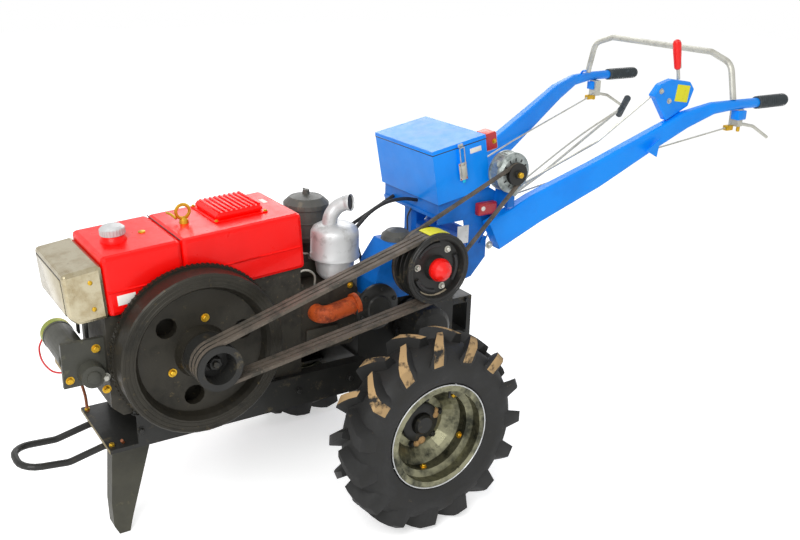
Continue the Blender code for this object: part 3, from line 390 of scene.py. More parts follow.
world = bpy.data.worlds.new("studio")
world.use_nodes = True
bpy.context.scene.world = world
tree = world.node_tree
tree.nodes.clear()
path = tree.nodes.new("ShaderNodeLightPath")
strength = tree.nodes.new("ShaderNodeMapRange")
strength.inputs["To Min"].default_value = AMBIENT
tree.links.new(seen_or_mirrored(tree, path), strength.inputs["Value"])
sky = tree.nodes.new("ShaderNodeBackground")
sky.inputs["Color"].default_value = (1.0, 1.0, 1.0, 1.0)
tree.links.new(strength.outputs["Result"], sky.inputs["Strength"])
tree.links.new(sky.outputs[0], tree.nodes.new("ShaderNodeOutputWorld").inputs["Surface"])
print("world: ambient", AMBIENT)

# %% [markdown]
# ## Floor
# The floor is a matt sheet that also glows a little for the camera, so that it fades into the
# white world and still takes the tractor's shadow.

# %% Floor
FLOOR_GLOW = 0.50
floor_shape = bmesh.new()
bmesh.ops.create_grid(floor_shape, x_segments=1, y_segments=1, size=14.0)
floor_mesh = bpy.data.meshes.new("floor")
floor_shape.to_mesh(floor_mesh)
floor_shape.free()
floor = bpy.data.objects.new("floor", floor_mesh)
floor.location.z = -0.001
bpy.context.scene.collection.objects.link(floor)
matte_floor, floor_shader, floor_place = surface("matte_studio_floor", 0.95)
clouds = pattern(matte_floor, floor_place, 900)
paint_on(matte_floor, floor_shader, "#fafafa", [(clouds, 0.4, 0.8, "#f5f5f5")])
floor_shader.inputs["Specular IOR Level"].default_value = 0.1
rays = seen_or_mirrored(matte_floor.node_tree, add(matte_floor, "LightPath"))
glow = add(matte_floor, "MapRange", {"Value": rays, "To Max": FLOOR_GLOW})
floor_shader.inputs["Emission Color"].default_value = (1.0, 1.0, 1.0, 1.0)
matte_floor.node_tree.links.new(glow.outputs["Result"], floor_shader.inputs["Emission Strength"])
floor_mesh.materials.append(matte_floor)
print("floor glow", FLOOR_GLOW)

# %% [markdown]
# ## Lamps
# One large soft lamp from the front left gives the tractor form and a shadow. A weaker one from
# behind on the right opens the dark side.

# %% Lamps


def lamp(name, place, target, size, power):
    """A square soft lamp that faces its target."""
    light = bpy.data.objects.new(name, bpy.data.lights.new(name, "AREA"))
    light.data.size = size
    light.data.energy = power
    light.location = place
    light.rotation_euler = (Vector(target) - Vector(place)).to_track_quat("-Z", "Y").to_euler()
    bpy.context.scene.collection.objects.link(light)


lamp("key_lamp", (2.6, -3.2, 3.6), (0, 0, 0.5), 2.6, 165)
lamp("fill_lamp", (-3.0, 1.5, 3.0), (0, 0, 0.5), 3.0, 60)
print("lamps:", len(bpy.data.lights))

# %% [markdown]
# ## Building pieces
# Each added piece starts as a bmesh. One function makes the object, gives it a finish and lets
# it ride on the frame body that carries it. The tractor's shafts all lie along X, so two more
# functions give a point on such an axis and a point on a ring round it.

# %% Making a piece
X_AXIS = Vector((1, 0, 0))
UP = Vector((0, 0, 1))


def on_axis(centre, x):
    """The point at this x on the X axis through the centre."""
    return Vector((x, centre.y, centre.z))


def around(centre, x, radius, degrees):
    """A point at this x on a ring about the X axis through the centre."""
    a = math.radians(degrees)
    return on_axis(centre, x) + Vector((0, radius * math.cos(a), radius * math.sin(a)))


def piece(name, shape, material, body="machine", smooth=35.0):
    """A riding object from a bmesh, with edges sharper than the angle kept sharp."""
    bmesh.ops.recalc_face_normals(shape, faces=shape.faces)
    mesh = bpy.data.meshes.new(name)
    shape.to_mesh(mesh)
    shape.free()
    mesh.materials.append(material)
    mesh.shade_smooth()
    mesh.set_sharp_from_angle(angle=math.radians(smooth))
    made = bpy.data.objects.new(name, mesh)
    bpy.context.scene.collection.objects.link(made)
    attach(made, body)
    return made


# %% [markdown]
# ## Turned shapes and bolts
# A lathe shape needs only its profile: how far along the axis, and how wide there. Bolts, nuts,
# rims and beads all come from it, because six sides make a hexagon and many make a circle.

# %% Turned shapes


def frame_along(direction):
    """Two directions across this one."""
    direction = Vector(direction).normalized()
    across = direction.orthogonal().normalized()
    return across, direction.cross(across)


def add_turned(shape, start, direction, profile, sides=24, hollow=False):
    """Adds a turned shape: profile is (along, radius). A hollow one joins its last point to its first."""
    direction = Vector(direction).normalized()
    across, other = frame_along(direction)
    rings = []
    for along, radius in profile:
        centre = Vector(start) + direction * along
        turns = [2 * math.pi * i / sides for i in range(sides)]
        spokes = [across * math.cos(a) + other * math.sin(a) for a in turns]
        rings.append([shape.verts.new(centre + spoke * radius) for spoke in spokes])
    for first, second in zip(rings, rings[1:] + rings[:1] if hollow else rings[1:]):
        for i in range(sides):
            j = (i + 1) % sides
            shape.faces.new((first[i], first[j], second[j], second[i]))
    if not hollow:
        shape.faces.new(rings[0])
        shape.faces.new(rings[-1])


def add_bead(shape, centre, radius, foot, top, height):
    """Adds a low ring on a face across X: half its width at the foot and at the top."""
    ring = [(0, radius - foot), (height, radius - top), (height, radius + top), (0, radius + foot)]
    add_turned(shape, centre, X_AXIS, ring, 72, hollow=True)


def add_bolt(shape, start, direction, radius=0.007, height=0.006, washer=True):
    """Adds a hexagon head on a washer."""
    lift = 0.0
    if washer:
        add_turned(shape, start, direction, [(0, radius * 1.45), (0.0015, radius * 1.45)], 16)
        lift = 0.0015
    head = [(lift, radius), (lift + height * 0.8, radius), (lift + height, radius * 0.82)]
    add_turned(shape, start, direction, head, 6)


# %% [markdown]
# ## Boxes and bars
# Sheet and cast parts start as boxes whose edges are softened, so that they catch the light.
# Rods, pipes and wires are round bars, bent along a smooth curve through a few points.

# %% Boxes and bars


def add_box(shape, low, high, soft=0.001, turn=None, about=None):
    """Adds a box between two corners with softened edges, turned about a point if asked."""
    low, high = Vector(low), Vector(high)
    made = bmesh.ops.create_cube(shape, size=1.0)["verts"]
    size = high - low
    for v in made:
        v.co = Vector((v.co.x * size.x, v.co.y * size.y, v.co.z * size.z)) + (low + high) / 2
        if turn:
            v.co = turn @ (v.co - about) + about
    if soft:
        edges = list({e for v in made for e in v.link_edges})
        bmesh.ops.bevel(shape, geom=edges, offset=soft, segments=2, profile=0.5, affect="EDGES")


def smooth_path(points, steps=6):
    """A Catmull-Rom curve through the points."""
    points = [Vector(p) for p in points]
    padded = [points[0] * 2 - points[1], *points, points[-1] * 2 - points[-2]]
    path = []
    for a, b, c, d in zip(padded, padded[1:], padded[2:], padded[3:]):
        for i in range(steps):
            t = i / steps
            path.append(0.5 * (2 * b + (c - a) * t + (2 * a - 5 * b + 4 * c - d) * t * t
                               + (3 * b - a - 3 * c + d) * t ** 3))
    return path + [points[-1]]


def add_bar(shape, path, radius, sides=10):
    """Adds a round bar along a path of points."""
    path = [Vector(p) for p in path]
    across = frame_along(path[1] - path[0])[0]
    rings = []
    for i, point in enumerate(path):
        before, after = path[max(i - 1, 0)], path[min(i + 1, len(path) - 1)]
        facing = (after - before).normalized()
        across = (across - facing * across.dot(facing)).normalized()
        other = facing.cross(across)
        turns = [2 * math.pi * k / sides for k in range(sides)]
        spokes = [across * math.cos(a) + other * math.sin(a) for a in turns]
        rings.append([shape.verts.new(point + spoke * radius) for spoke in spokes])
    for first, second in zip(rings, rings[1:]):
        for k in range(sides):
            m = (k + 1) % sides
            shape.faces.new((first[k], first[m], second[m], second[k]))
    shape.faces.new(rings[0])
    shape.faces.new(rings[-1])


def add_wire(shape, points, radius, place=at, sides=8):
    """Adds a bent wire through points that are given from the axle or in a tilted frame."""
    add_bar(shape, smooth_path([place(*point) for point in points]), radius, sides)


# %% [markdown]
# ## Tread bars
# A farm tyre is a thin case with tall bars. Each bar starts near the middle of the tread, runs
# out to the shoulder at a slant and ends a little way down the side wall; the bars of the two
# halves are staggered, so that the wheel rolls without thumping.

# %% One tread bar
LUGS = 15               # bars on each half of the tread
LUG_HEIGHT = 0.030
SHOULDER = (tyre_high.x - tyre_low.x) / 2
CASE_RADIUS = TYRE_RADIUS - LUG_HEIGHT
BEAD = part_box("rim_left")[1].z - AXLE.z     # radius of the rim's lip


def add_lug(shape, sign, turn, centre):
    """Adds one tread bar: sign is its half of the tread and turn its place round the tyre."""
    # Stations along the bar: place across the tread (share of the shoulder), how far round it
    # has swept, the radius of its top and of its foot, and half its width at the top.
    stations = (
        (-0.06, 0.000, TYRE_RADIUS - 0.002, CASE_RADIUS - 0.006, 0.010),
        (0.22, 0.050, TYRE_RADIUS, CASE_RADIUS - 0.008, 0.012),
        (0.52, 0.112, TYRE_RADIUS - 0.001, CASE_RADIUS - 0.014, 0.014),
        (0.80, 0.170, TYRE_RADIUS - 0.006, CASE_RADIUS - 0.030, 0.016),
        (0.985, 0.205, TYRE_RADIUS - 0.018, CASE_RADIUS - 0.052, 0.018),
        (0.990, 0.218, TYRE_RADIUS - 0.066, CASE_RADIUS - 0.064, 0.016),
    )
    rings = []
    for share, sweep, top, foot, half in stations:
        angle = turn + sweep
        round_it = Vector((0, -math.sin(angle), math.cos(angle)))
        outward = Vector((0, math.cos(angle), math.sin(angle)))
        x = sign * share * SHOULDER
        # The foot of the last stations lies inside the side wall, so the bar grows out of it.
        inner_x = sign * min(share, 0.86) * SHOULDER
        corners = []
        for radius, width, across in ((foot, half * 1.9, inner_x), (top, half, x)):
            for side in (-1, 1):
                offset = outward * radius + round_it * (side * width) + X_AXIS * across
                corners.append(centre + offset)
        rings.append([shape.verts.new(corners[k]) for k in (0, 2, 3, 1)])
    for first, second in zip(rings, rings[1:]):
        for k in range(4):
            m = (k + 1) % 4
            face = shape.faces.new((first[k], first[m], second[m], second[k]))
            # Corners 1 and 2 bound the top. On the bars that point up it is tan: partly dried soil, partly
            # painted light on the lit tops.
            face.material_index = int(k == 1 and math.sin(turn + 0.1) > 0.45)
    shape.faces.new(rings[0])
    shape.faces.new(rings[-1])


# %% [markdown]
# ## Both tyres
# The case is turned from its profile, and one bar is repeated by a loop. The case stands in for
# the plain frame tyre. Both ride on the wheel's body, so that they turn with it.

# %% Tyres
# Half of the case, from the bead to the middle of the tread: (across, radius).
HALF_CASE = [
    (0.060, BEAD + 0.001), (0.066, BEAD + 0.006), (0.072, BEAD + 0.018), (0.076, BEAD + 0.030),
    (0.077, BEAD + 0.034), (0.0795, BEAD + 0.040), (0.0795, BEAD + 0.058), (0.0760, BEAD + 0.078),
    (0.0690, CASE_RADIUS - 0.026), (0.0560, CASE_RADIUS - 0.012), (0.0350, CASE_RADIUS - 0.003),
    (0.0, CASE_RADIUS),
]
CASE_INSIDE = [
    (-0.052, BEAD + 0.002), (-0.060, CASE_RADIUS - 0.040),
    (0.060, CASE_RADIUS - 0.040), (0.052, BEAD + 0.002),
]
outline = HALF_CASE + [(-a, r) for a, r in reversed(HALF_CASE[:-1])] + CASE_INSIDE
for side, sign in (("left", 1), ("right", -1)):
    centre = Vector((sign * middle("tyre_left").x, AXLE.y, AXLE.z))
    case = bmesh.new()
    add_turned(case, centre, (1, 0, 0), outline, 96, hollow=True)
    tyre = piece(f"lugged_tyre_{side}", case, tyre_rubber, f"wheel_{side}", 50)
    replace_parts(tyre, f"tyre_{side}")
    lugs = bmesh.new()
    for i in range(LUGS):
        for hand in (1, -1):
            stagger = 0.5 if hand == 1 else 0.0
            add_lug(lugs, hand, 2 * math.pi * (i + stagger) / LUGS, centre)
    edges = [e for e in lugs.edges if e.is_manifold and e.calc_face_angle(0) > 0.6]
    bmesh.ops.bevel(lugs, geom=edges, offset=0.0028, segments=2, profile=0.5, affect="EDGES")
    bars = piece(f"tread_bars_{side}", lugs, tyre_rubber, f"wheel_{side}", 40)
    bars.data.materials.append(lug_soil_and_lit_tops)
print("tyres: ", 2 * LUGS, "bars each, case radius", round(CASE_RADIUS, 3))

# %% [markdown]
# ## Two sloping places
# The hood leans down to the front and the battery box leans back, so their small parts are
# placed in tilted frames. A rotation about X and a corner point make each frame.

# %% Tilted frames
HOOD_TILT = Matrix.Rotation(math.radians(4.3), 3, "X")
BOX_TILT = Matrix.Rotation(0.184, 3, "X")
HOOD_CORNER = at(0, -0.862, 0.602)
BOX_CORNER = at(0, 0.149, 0.785)
HOOD_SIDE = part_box("fuel_tank")[1].x
HOOD_END = 0.580    # length of the hood's top


def on_hood(x, y, z):
    """World place of a point in the hood's frame, from the middle of its top front edge."""
    return HOOD_CORNER + HOOD_TILT @ Vector((x, y, z))


def on_box(x, y, z):
    """World place of a point in the battery box's frame, from the middle of its lid's front edge."""
    return BOX_CORNER + BOX_TILT @ Vector((x, y, z))


def add_slab(shape, frame_point, low, high, soft=0.001):
    """Adds a softened box given in a tilted frame."""
    made = bmesh.ops.create_cube(shape, size=1.0)["verts"]
    low, high = Vector(low), Vector(high)
    for v in made:
        inside = Vector([low[i] + (high[i] - low[i]) * (v.co[i] + 0.5) for i in range(3)])
        v.co = frame_point(*inside)
    edges = list({e for v in made for e in v.link_edges})
    bmesh.ops.bevel(shape, geom=edges, offset=soft, segments=2, profile=0.5, affect="EDGES")


up_hood = HOOD_TILT @ UP
print("hood side", round(HOOD_SIDE, 3))

# %% [markdown]
# ## The chrome nose
# The nose is a pressing with a stepped front panel, held by two screws on each side. Four thin
# dark slabs paint the shade in the groove round the panel, and the panel itself stands a little proud.

# %% Nose
NOSE_FACE = -0.105    # the nose's front, ahead of the hood's corner
GROOVE = 0.0035       # width of the groove round the panel
half, bottom, top = 0.126, -0.139, -0.0365
front, back = NOSE_FACE - 0.0006, NOSE_FACE + 0.004
groove = bmesh.new()
for low, high in (
    ((-half, front, top - GROOVE), (half, back, top)),
    ((-half, front, bottom), (half, back, bottom + GROOVE)),
    ((-half, front, bottom), (GROOVE - half, back, top)),
    ((half - GROOVE, front, bottom), (half, back, top)),
):
    add_slab(groove, on_hood, low, high, 0.0004)
# The dark slabs are painted shade in the groove.
piece("nose_groove_painted_shade", groove, cable_black)
panel = bmesh.new()
low = (GROOVE - half, NOSE_FACE - 0.0022, bottom + GROOVE)
high = (half - GROOVE, back, top - GROOVE)
add_slab(panel, on_hood, low, high, 0.0018)
piece("nose_panel", panel, chrome_plate)
screws = bmesh.new()
for side in (-1, 1):
    for drop in (0.058, 0.132):
        start = on_hood(side * HOOD_SIDE, -0.036, -drop)
        add_turned(screws, start, (side, 0, 0), [(0, 0.0065), (0.002, 0.0060), (0.0034, 0.0036)], 18)
piece("nose_screws", screws, brass)
print("nose: 1 panel and 4 screws")

# %% [markdown]
# ## Beads on the hood, ribs on the radiator's cover
# A bead is a ridge rolled along a sheet to stiffen it. Each one here is a thin bar half sunk in
# the side, and a table of starts and lengths puts them on both sides. The tank has a raised
# filler neck, and the radiator's ribbed cover has a flange.

# %% Tank and hood fittings
FILLER = (0.020, 0.072)    # middle of the filler cap on the hood's top
BEAD_DROP = -0.100
RIBS = 9
RIB_PITCH = 0.0153
fittings = bmesh.new()
neck = [(0, 0.037), (0.004, 0.036), (0.016, 0.031), (0.0178, 0.029)]
add_turned(fittings, on_hood(*FILLER, 0), up_hood, neck, 32)
for start, length in ((0.006, 0.207), (HOOD_END - 0.219, 0.207), (0.222, 0.12), (0.322, 0.12)):
    for side in (-1, 1):
        x = side * (HOOD_SIDE - 0.0012)
        path = [on_hood(x, y, BEAD_DROP) for y in (start, start + length)]
        add_bar(fittings, path, 0.0032, 8)
add_slab(fittings, on_hood, (-0.119, 0.346, 0.0), (0.069, 0.509, 0.0034), 0.0012)
for k in range(RIBS):
    y = 0.366 + RIB_PITCH * k
    add_slab(fittings, on_hood, (-0.100, y, 0.018), (0.050, y + 0.0075, 0.0262), 0.0025)
piece("hood_beads_and_radiator_ribs", fittings, red_enamel, smooth=40)
print("hood: 8 beads and", RIBS, "ribs")

# %% [markdown]
# ## Screws, cap grip and seam
# Small contrasts tell the eye where one sheet ends and the next begins: yellow plated screws,
# knurls round the filler cap, and a dark line of painted shade where the tank meets the radiator hood.

# %% Small things on the hood
KNURLS = 24
small = bmesh.new()
add_turned(small, on_hood(0.005, 0.155, 0), up_hood, [(0, 0.0105), (0.003, 0.0100), (0.0042, 0.0070)], 20)
for x in (-0.113, 0.063):
    for y in (0.352, 0.503):
        add_bolt(small, on_hood(x, y, 0.0034), up_hood, 0.0042, 0.003)
wing = [(-0.010, 0.262, 0.012), (-0.030, 0.255, 0.020), (-0.052, 0.250, 0.021)]
add_wire(small, wing, 0.0038, on_hood)
piece("hood_screws_and_eye_wing", small, brass)
knurls = bmesh.new()
for k in range(KNURLS):
    a = 2 * math.pi * k / KNURLS
    spot = on_hood(FILLER[0] + 0.0325 * math.cos(a), FILLER[1] + 0.0325 * math.sin(a), 0.019)
    add_turned(knurls, spot, up_hood, [(0, 0.0022), (0.0155, 0.0022), (0.0165, 0.0012)], 8)
piece("filler_cap_knurls", knurls, silver_paint)
# The dark strip is painted shade in the gap between the tank and the hood.
seam = bmesh.new()
half = HOOD_SIDE - 0.010
add_slab(seam, on_hood, (-half, 0.2158, -0.002), (half, 0.2178, 0.0004), 0.0002)
piece("tank_gap_painted_shade", seam, cable_black)
labels = bmesh.new()
add_slab(labels, on_hood, (HOOD_SIDE - 0.001, 0.026, -0.140), (HOOD_SIDE + 0.0005, 0.076, -0.112), 0.0002)
add_slab(labels, on_hood, (-0.055, 0.535, -0.001), (-0.015, 0.549, 0.0005), 0.0002)
piece("blank_hood_labels", labels, blank_white)
print("filler cap:", KNURLS, "knurls")

# %% [markdown]
# ## Ring gear
# The starter's pinion meets a ring gear shrunk on the flywheel's inner edge. A tooth is a block
# that narrows outward: eight corners and six faces, repeated round the wheel by a loop.

# %% Ring gear
TEETH = 104
TOOTH_FOOT = (0.236, 0.0046)    # radius and half its width
TOOTH_TIP = (0.2425, 0.0026)
TOOTH_FACES = ((0, 1, 3, 2), (4, 6, 7, 5), (0, 4, 5, 1), (2, 3, 7, 6), (0, 2, 6, 4), (1, 5, 7, 3))
hub = middle("flywheel")
wheel_low, wheel_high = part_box("flywheel")
ring_gear = bmesh.new()
for k in range(TEETH):
    a = 2 * math.pi * k / TEETH
    outward = Vector((0, math.cos(a), math.sin(a)))
    along = Vector((0, -math.sin(a), math.cos(a)))
    verts = []
    for x in (wheel_low.x + 0.024, wheel_low.x + 0.034):
        for radius, half in (TOOTH_FOOT, TOOTH_TIP):
            for side in (-1, 1):
                corner = on_axis(hub, x) + outward * radius + along * (half * side)
                verts.append(ring_gear.verts.new(corner))
    for loop in TOOTH_FACES:
        ring_gear.faces.new([verts[k] for k in loop])
piece("ring_gear_teeth", ring_gear, flywheel_iron, smooth=20)
print("flywheel:", TEETH, "teeth")

# %% [markdown]
# ## Flywheel face
# Turned rings catch the light as thin circles. Three bolts show in the web, and a hexagon nut
# holds the hub pulley on the end of the crank.

# %% Flywheel face
face_x = wheel_high.x
turnings = bmesh.new()
for radius in (0.203, 0.214, 0.225):
    add_bead(turnings, on_axis(hub, face_x - 0.0002), radius, 0.0022, 0.0012, 0.0012)
piece("flywheel_turned_rings", turnings, flywheel_iron)
bolts = bmesh.new()
for degrees in (82, 208, 322):
    add_bolt(bolts, around(hub, face_x - 0.032, 0.098, degrees), X_AXIS, 0.0085, 0.008)
piece("flywheel_bolts", bolts, brass)
nut = bmesh.new()
nut_seat = on_axis(hub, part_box("hub_pulley")[1].x - 0.051)
add_turned(nut, nut_seat, X_AXIS, [(0, 0.021), (0.014, 0.021), (0.017, 0.018)], 6)
add_turned(nut, nut_seat, X_AXIS, [(0, 0.010), (0.024, 0.010), (0.026, 0.008)], 20)
piece("crank_nut", nut, black_enamel)
print("flywheel: 3 rings, 3 bolts and the crank nut")

# %% [markdown]
# ## Clutch pulley face
# The recess in the clutch pulley shows three dark arcs of painted shade, standing for openings,
# between three bolts, 120 degrees apart, and two beads run round its rim.

# %% Clutch pulley
THIRD = 120
clutch = middle("clutch_pulley")
clutch_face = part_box("clutch_pulley")[1].x
# Black arcs paint the shade of the openings in the recess.
dark = bmesh.new()
bolts = bmesh.new()
for k in range(3):
    arc = [THIRD * k - 38 + 64 * i / 12 for i in range(13)]
    add_bar(dark, [around(clutch, clutch_face - 0.0172, 0.074, turn) for turn in arc], 0.0085, 8)
    add_bolt(bolts, around(clutch, clutch_face - 0.018, 0.066, THIRD * k + 52), X_AXIS, 0.0075, 0.008)
piece("clutch_face_opening_shade", dark, cable_black)
piece("clutch_face_bolts", bolts, bare_steel)
ring = bmesh.new()
for radius in (0.096, 0.105):
    add_bead(ring, on_axis(clutch, clutch_face - 0.0003), radius, 0.003, 0.0015, 0.0018)
piece("clutch_rim_beads", ring, black_enamel)
print("clutch pulley: 3 openings, 3 bolts and 2 beads")

# %% [markdown]
# ## Alternator
# The alternator's body is die cast with cooling ribs along it, a band at each end and two ears
# for its bolts. Dark bars on its front paint the shade in the slots that let air in.

# %% Alternator
VANES = 20
SLOTS = 12
alternator = middle("alternator")
body_low, body_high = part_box("alternator")
body_radius = (body_high.z - body_low.z) / 2
inner, outer = body_radius - 0.001, body_radius + 0.003
vanes = bmesh.new()
for k in range(VANES):
    ends = (body_low.x + 0.016, body_high.x - 0.014)
    add_bar(vanes, [around(alternator, x, inner, 360 * k / VANES) for x in ends], 0.0028, 6)
for x in (body_low.x + 0.013, body_high.x - 0.013):
    band = [(-0.004, inner), (-0.003, outer), (0.003, outer), (0.004, inner)]
    add_turned(vanes, on_axis(alternator, x), X_AXIS, band, 40, hollow=True)
for degrees in (-80, 150):
    ear = around(alternator, body_high.x - 0.020, body_radius + 0.006, degrees)
    add_turned(vanes, ear, X_AXIS, [(0, 0.011), (0.012, 0.011), (0.013, 0.009)], 18)
piece("alternator_ribs", vanes, alternator_metal)
# The black bars are painted shade in the air slots.
slots = bmesh.new()
for k in range(SLOTS):
    ends = [around(alternator, body_high.x + 0.0002, r, 360 * k / SLOTS) for r in (0.039, 0.049)]
    add_bar(slots, ends, 0.0026, 6)
piece("alternator_slot_shade", slots, cable_black)
nut = bmesh.new()
nut_seat = on_axis(alternator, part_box("alternator_pulley")[1].x)
add_turned(nut, nut_seat, X_AXIS, [(-0.001, 0.010), (0.008, 0.010), (0.010, 0.008)], 6)
piece("alternator_nut", nut, brass)
print("alternator radius", round(body_radius, 3))

# %% [markdown]
# ## Rocker cover and injector pipes
# Between the hood and the muffler sits the cast rocker cover, with the injector's steel pipes.
# The head's bolts are plated yellow.

# %% Engine top
HEAD_TOP = 0.400
COVER_TOP = HEAD_TOP + 0.052
cover = bmesh.new()
add_box(cover, at(-0.045, -0.262, HEAD_TOP - 0.002), at(0.030, -0.095, COVER_TOP), 0.008)
add_box(cover, at(-0.105, -0.272, 0.300), at(0.112, -0.262, HEAD_TOP + 0.012), 0.003)
add_box(cover, at(0.100, -0.262, 0.225), at(0.127, -0.150, 0.268), 0.006)
piece("rocker_cover", cover, cast_iron)
pipes = bmesh.new()
add_wire(pipes, [
    (0.060, -0.300, 0.470), (0.062, -0.262, 0.492), (0.055, -0.225, 0.488),
    (0.020, -0.200, 0.470), (0.012, -0.190, 0.450),
], 0.0032)
add_wire(pipes, [
    (0.118, -0.300, 0.452), (0.122, -0.262, 0.462), (0.116, -0.230, 0.440), (0.100, -0.220, 0.398),
], 0.0032)
piece("injector_pipes", pipes, bare_steel)
bolts = bmesh.new()
for x in (-0.034, 0.018):
    for y in (-0.248, -0.110):
        add_bolt(bolts, at(x, y, COVER_TOP), UP, 0.006, 0.006)
for y, z in ((-0.250, 0.384), (-0.105, 0.384), (-0.250, 0.205), (-0.105, 0.214)):
    for side in (-1, 1):
        add_bolt(bolts, at(side * 0.115, y, z), (side, 0, 0), 0.007, 0.007)
piece("head_bolts", bolts, brass)
print("engine top: 2 pipes and 12 bolts")

# %% [markdown]
# ## Air filter
# Beads stiffen the filter's pot, and a wing nut holds its lid.

# %% Air filter
pot = middle("air_filter")
pot_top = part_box("air_filter")[1].z
ring = bmesh.new()
for drop in (0.056, 0.100, 0.144):
    band = [(-0.002, 0.066), (0, 0.0695), (0.003, 0.0695), (0.005, 0.066)]
    add_turned(ring, Vector((pot.x, pot.y, pot_top - drop)), UP, band, 40, hollow=True)
add_bar(ring, [Vector((pot.x + x, pot.y, pot_top - 0.004)) for x in (-0.017, 0.017)], 0.0035, 8)
piece("air_filter_beads_and_wing_nut", ring, grey_enamel)
print("air filter: 3 beads")

# %% [markdown]
# ## Muffler
# The can is turned from its profile: a cone below, a rolled seam, and a domed top. Its outlet is
# a cut tube, so a dark disc paints the shade and soot inside its mouth, with a bright lip round it.
# It stands in for the plain muffler.

# %% Muffler
CAN_PROFILE = [
    (0.4004, 0.0), (0.4004, 0.030), (0.412, 0.046), (0.426, 0.056), (0.470, 0.062),
    (0.474, 0.076), (0.480, 0.0769), (0.486, 0.0740), (0.540, 0.0740), (0.556, 0.0730),
    (0.568, 0.0660), (0.576, 0.0520), (0.580, 0.0300), (0.581, 0.0),
]
LIP = [
    (-0.014, 0.0215), (-0.004, 0.0245), (0.006, 0.0262),
    (0.008, 0.0255), (0.006, 0.0235), (-0.014, 0.0190),
]
shell = bmesh.new()
add_turned(shell, at(0.080, -0.140, 0), UP, CAN_PROFILE, 64)
outlet = [(0.074, -0.156, 0.574), (0.074, -0.150, 0.602), (0.080, -0.132, 0.628), (0.098, -0.112, 0.644)]
add_wire(shell, outlet, 0.0225, sides=32)
mouth = at(0.104, -0.106, 0.645)
mouth_way = (at(0.128, -0.088, 0.650) - mouth).normalized()
add_turned(shell, mouth, mouth_way, LIP, 40, hollow=True)
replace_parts(piece("silenced_muffler_can", shell, silver_paint, smooth=40), "muffler")
# The dark disc is painted shade inside the outlet, with its soot.
hole = bmesh.new()
add_turned(hole, mouth + mouth_way * 0.0015, mouth_way, [(0, 0.0238), (0.0012, 0.0238)], 40)
piece("muffler_mouth_shade_and_soot", hole, cast_iron)
print("muffler mouth at", tuple(round(v, 3) for v in mouth))

# %% [markdown]
# ## Starter
# The starter's end cap has a thin yellow-green finish, and its switch block is tan. Bolts on the
# flange are plated yellow.

# %% Starter
starter_axis = at(0, -0.935, 0.315)
cap = bmesh.new()
add_turned(cap, starter_axis, X_AXIS, [
    (-0.1305, 0.0), (-0.1305, 0.0305), (-0.1225, 0.0387), (-0.1185, 0.0430),
    (-0.0960, 0.0430), (-0.0955, 0.0421),
], 36)
piece("starter_end_cap", cap, olive_cap)
bands = bmesh.new()
for x in (-0.090, 0.080):
    band = [(x, 0.0415), (x + 0.001, 0.0436), (x + 0.006, 0.0436), (x + 0.007, 0.0415)]
    add_turned(bands, starter_axis, X_AXIS, band, 36, hollow=True)
pinion_end = [(0.030, 0.020), (0.041, 0.018), (0.043, 0.012), (0.043, 0.0)]
add_turned(bands, at(0.100, -0.903, 0.272), X_AXIS, pinion_end, 24)
piece("starter_bands", bands, dark_grey_enamel)
block = bmesh.new()
add_box(block, at(-0.0806, -0.9536, 0.2394), at(0.0006, -0.9164, 0.2700), 0.003)
piece("starter_switch_block", block, tan_block)
bolts = bmesh.new()
add_bolt(bolts, at(0.102, -0.884, 0.340), X_AXIS, 0.0085, 0.008)
add_bolt(bolts, at(0.102, -0.958, 0.262), X_AXIS, 0.0080, 0.008)
add_bolt(bolts, at(0.126, -0.870, 0.226), X_AXIS, 0.0085, 0.010)
piece("starter_bolts", bolts, brass)
nuts = bmesh.new()
add_bolt(nuts, at(0.126, -0.870, 0.262), X_AXIS, 0.0085, 0.010)
add_bolt(nuts, at(-0.030, -0.936, 0.2394), -UP, 0.0050, 0.010)
add_bolt(nuts, at(-0.062, -0.9400, 0.2394), -UP, 0.0040, 0.008)
piece("starter_nuts", nuts, bare_steel)
print("starter: 3 bolts and 3 nuts")

# %% [markdown]
# ## Wiring at the front
# A red wire loops from the cap down to the switch, and an orange cable lies across the front
# plate. Both are clipped at both ends, so each keeps the route that its points give. Two straps
# hold the nose.

# %% Front wiring
loop = bmesh.new()
add_wire(loop, [
    (-0.124, -0.972, 0.300), (-0.130, -0.982, 0.270), (-0.118, -0.980, 0.236),
    (-0.085, -0.966, 0.216), (-0.048, -0.950, 0.220), (-0.030, -0.938, 0.232),
], 0.0028)
piece("starter_red_wire", loop, red_wire)
lead = bmesh.new()
add_wire(lead, [
    (-0.120, -0.880, 0.150), (-0.128, -0.868, 0.090), (-0.110, -0.868, 0.0425), (-0.030, -0.866, 0.0415),
    (0.060, -0.850, 0.0415), (0.112, -0.835, 0.0440), (0.128, -0.842, 0.060),
], 0.0045)
piece("front_plate_cable", lead, rust_cable)
strap = bmesh.new()
for x in (-0.060, 0.030):
    add_box(strap, at(x, -0.892, 0.330), at(x + 0.022, -0.886, 0.428), 0.0015)
piece("nose_straps", strap, black_enamel)
print("wiring: 2 wires and 2 straps")

# %% [markdown]
# ## Box clasp
# A toggle clasp holds the lid. Its lever and wire bail sit on the box, and its hook is on the lid,
# so the hook rides on the lid's body and swings away with it.

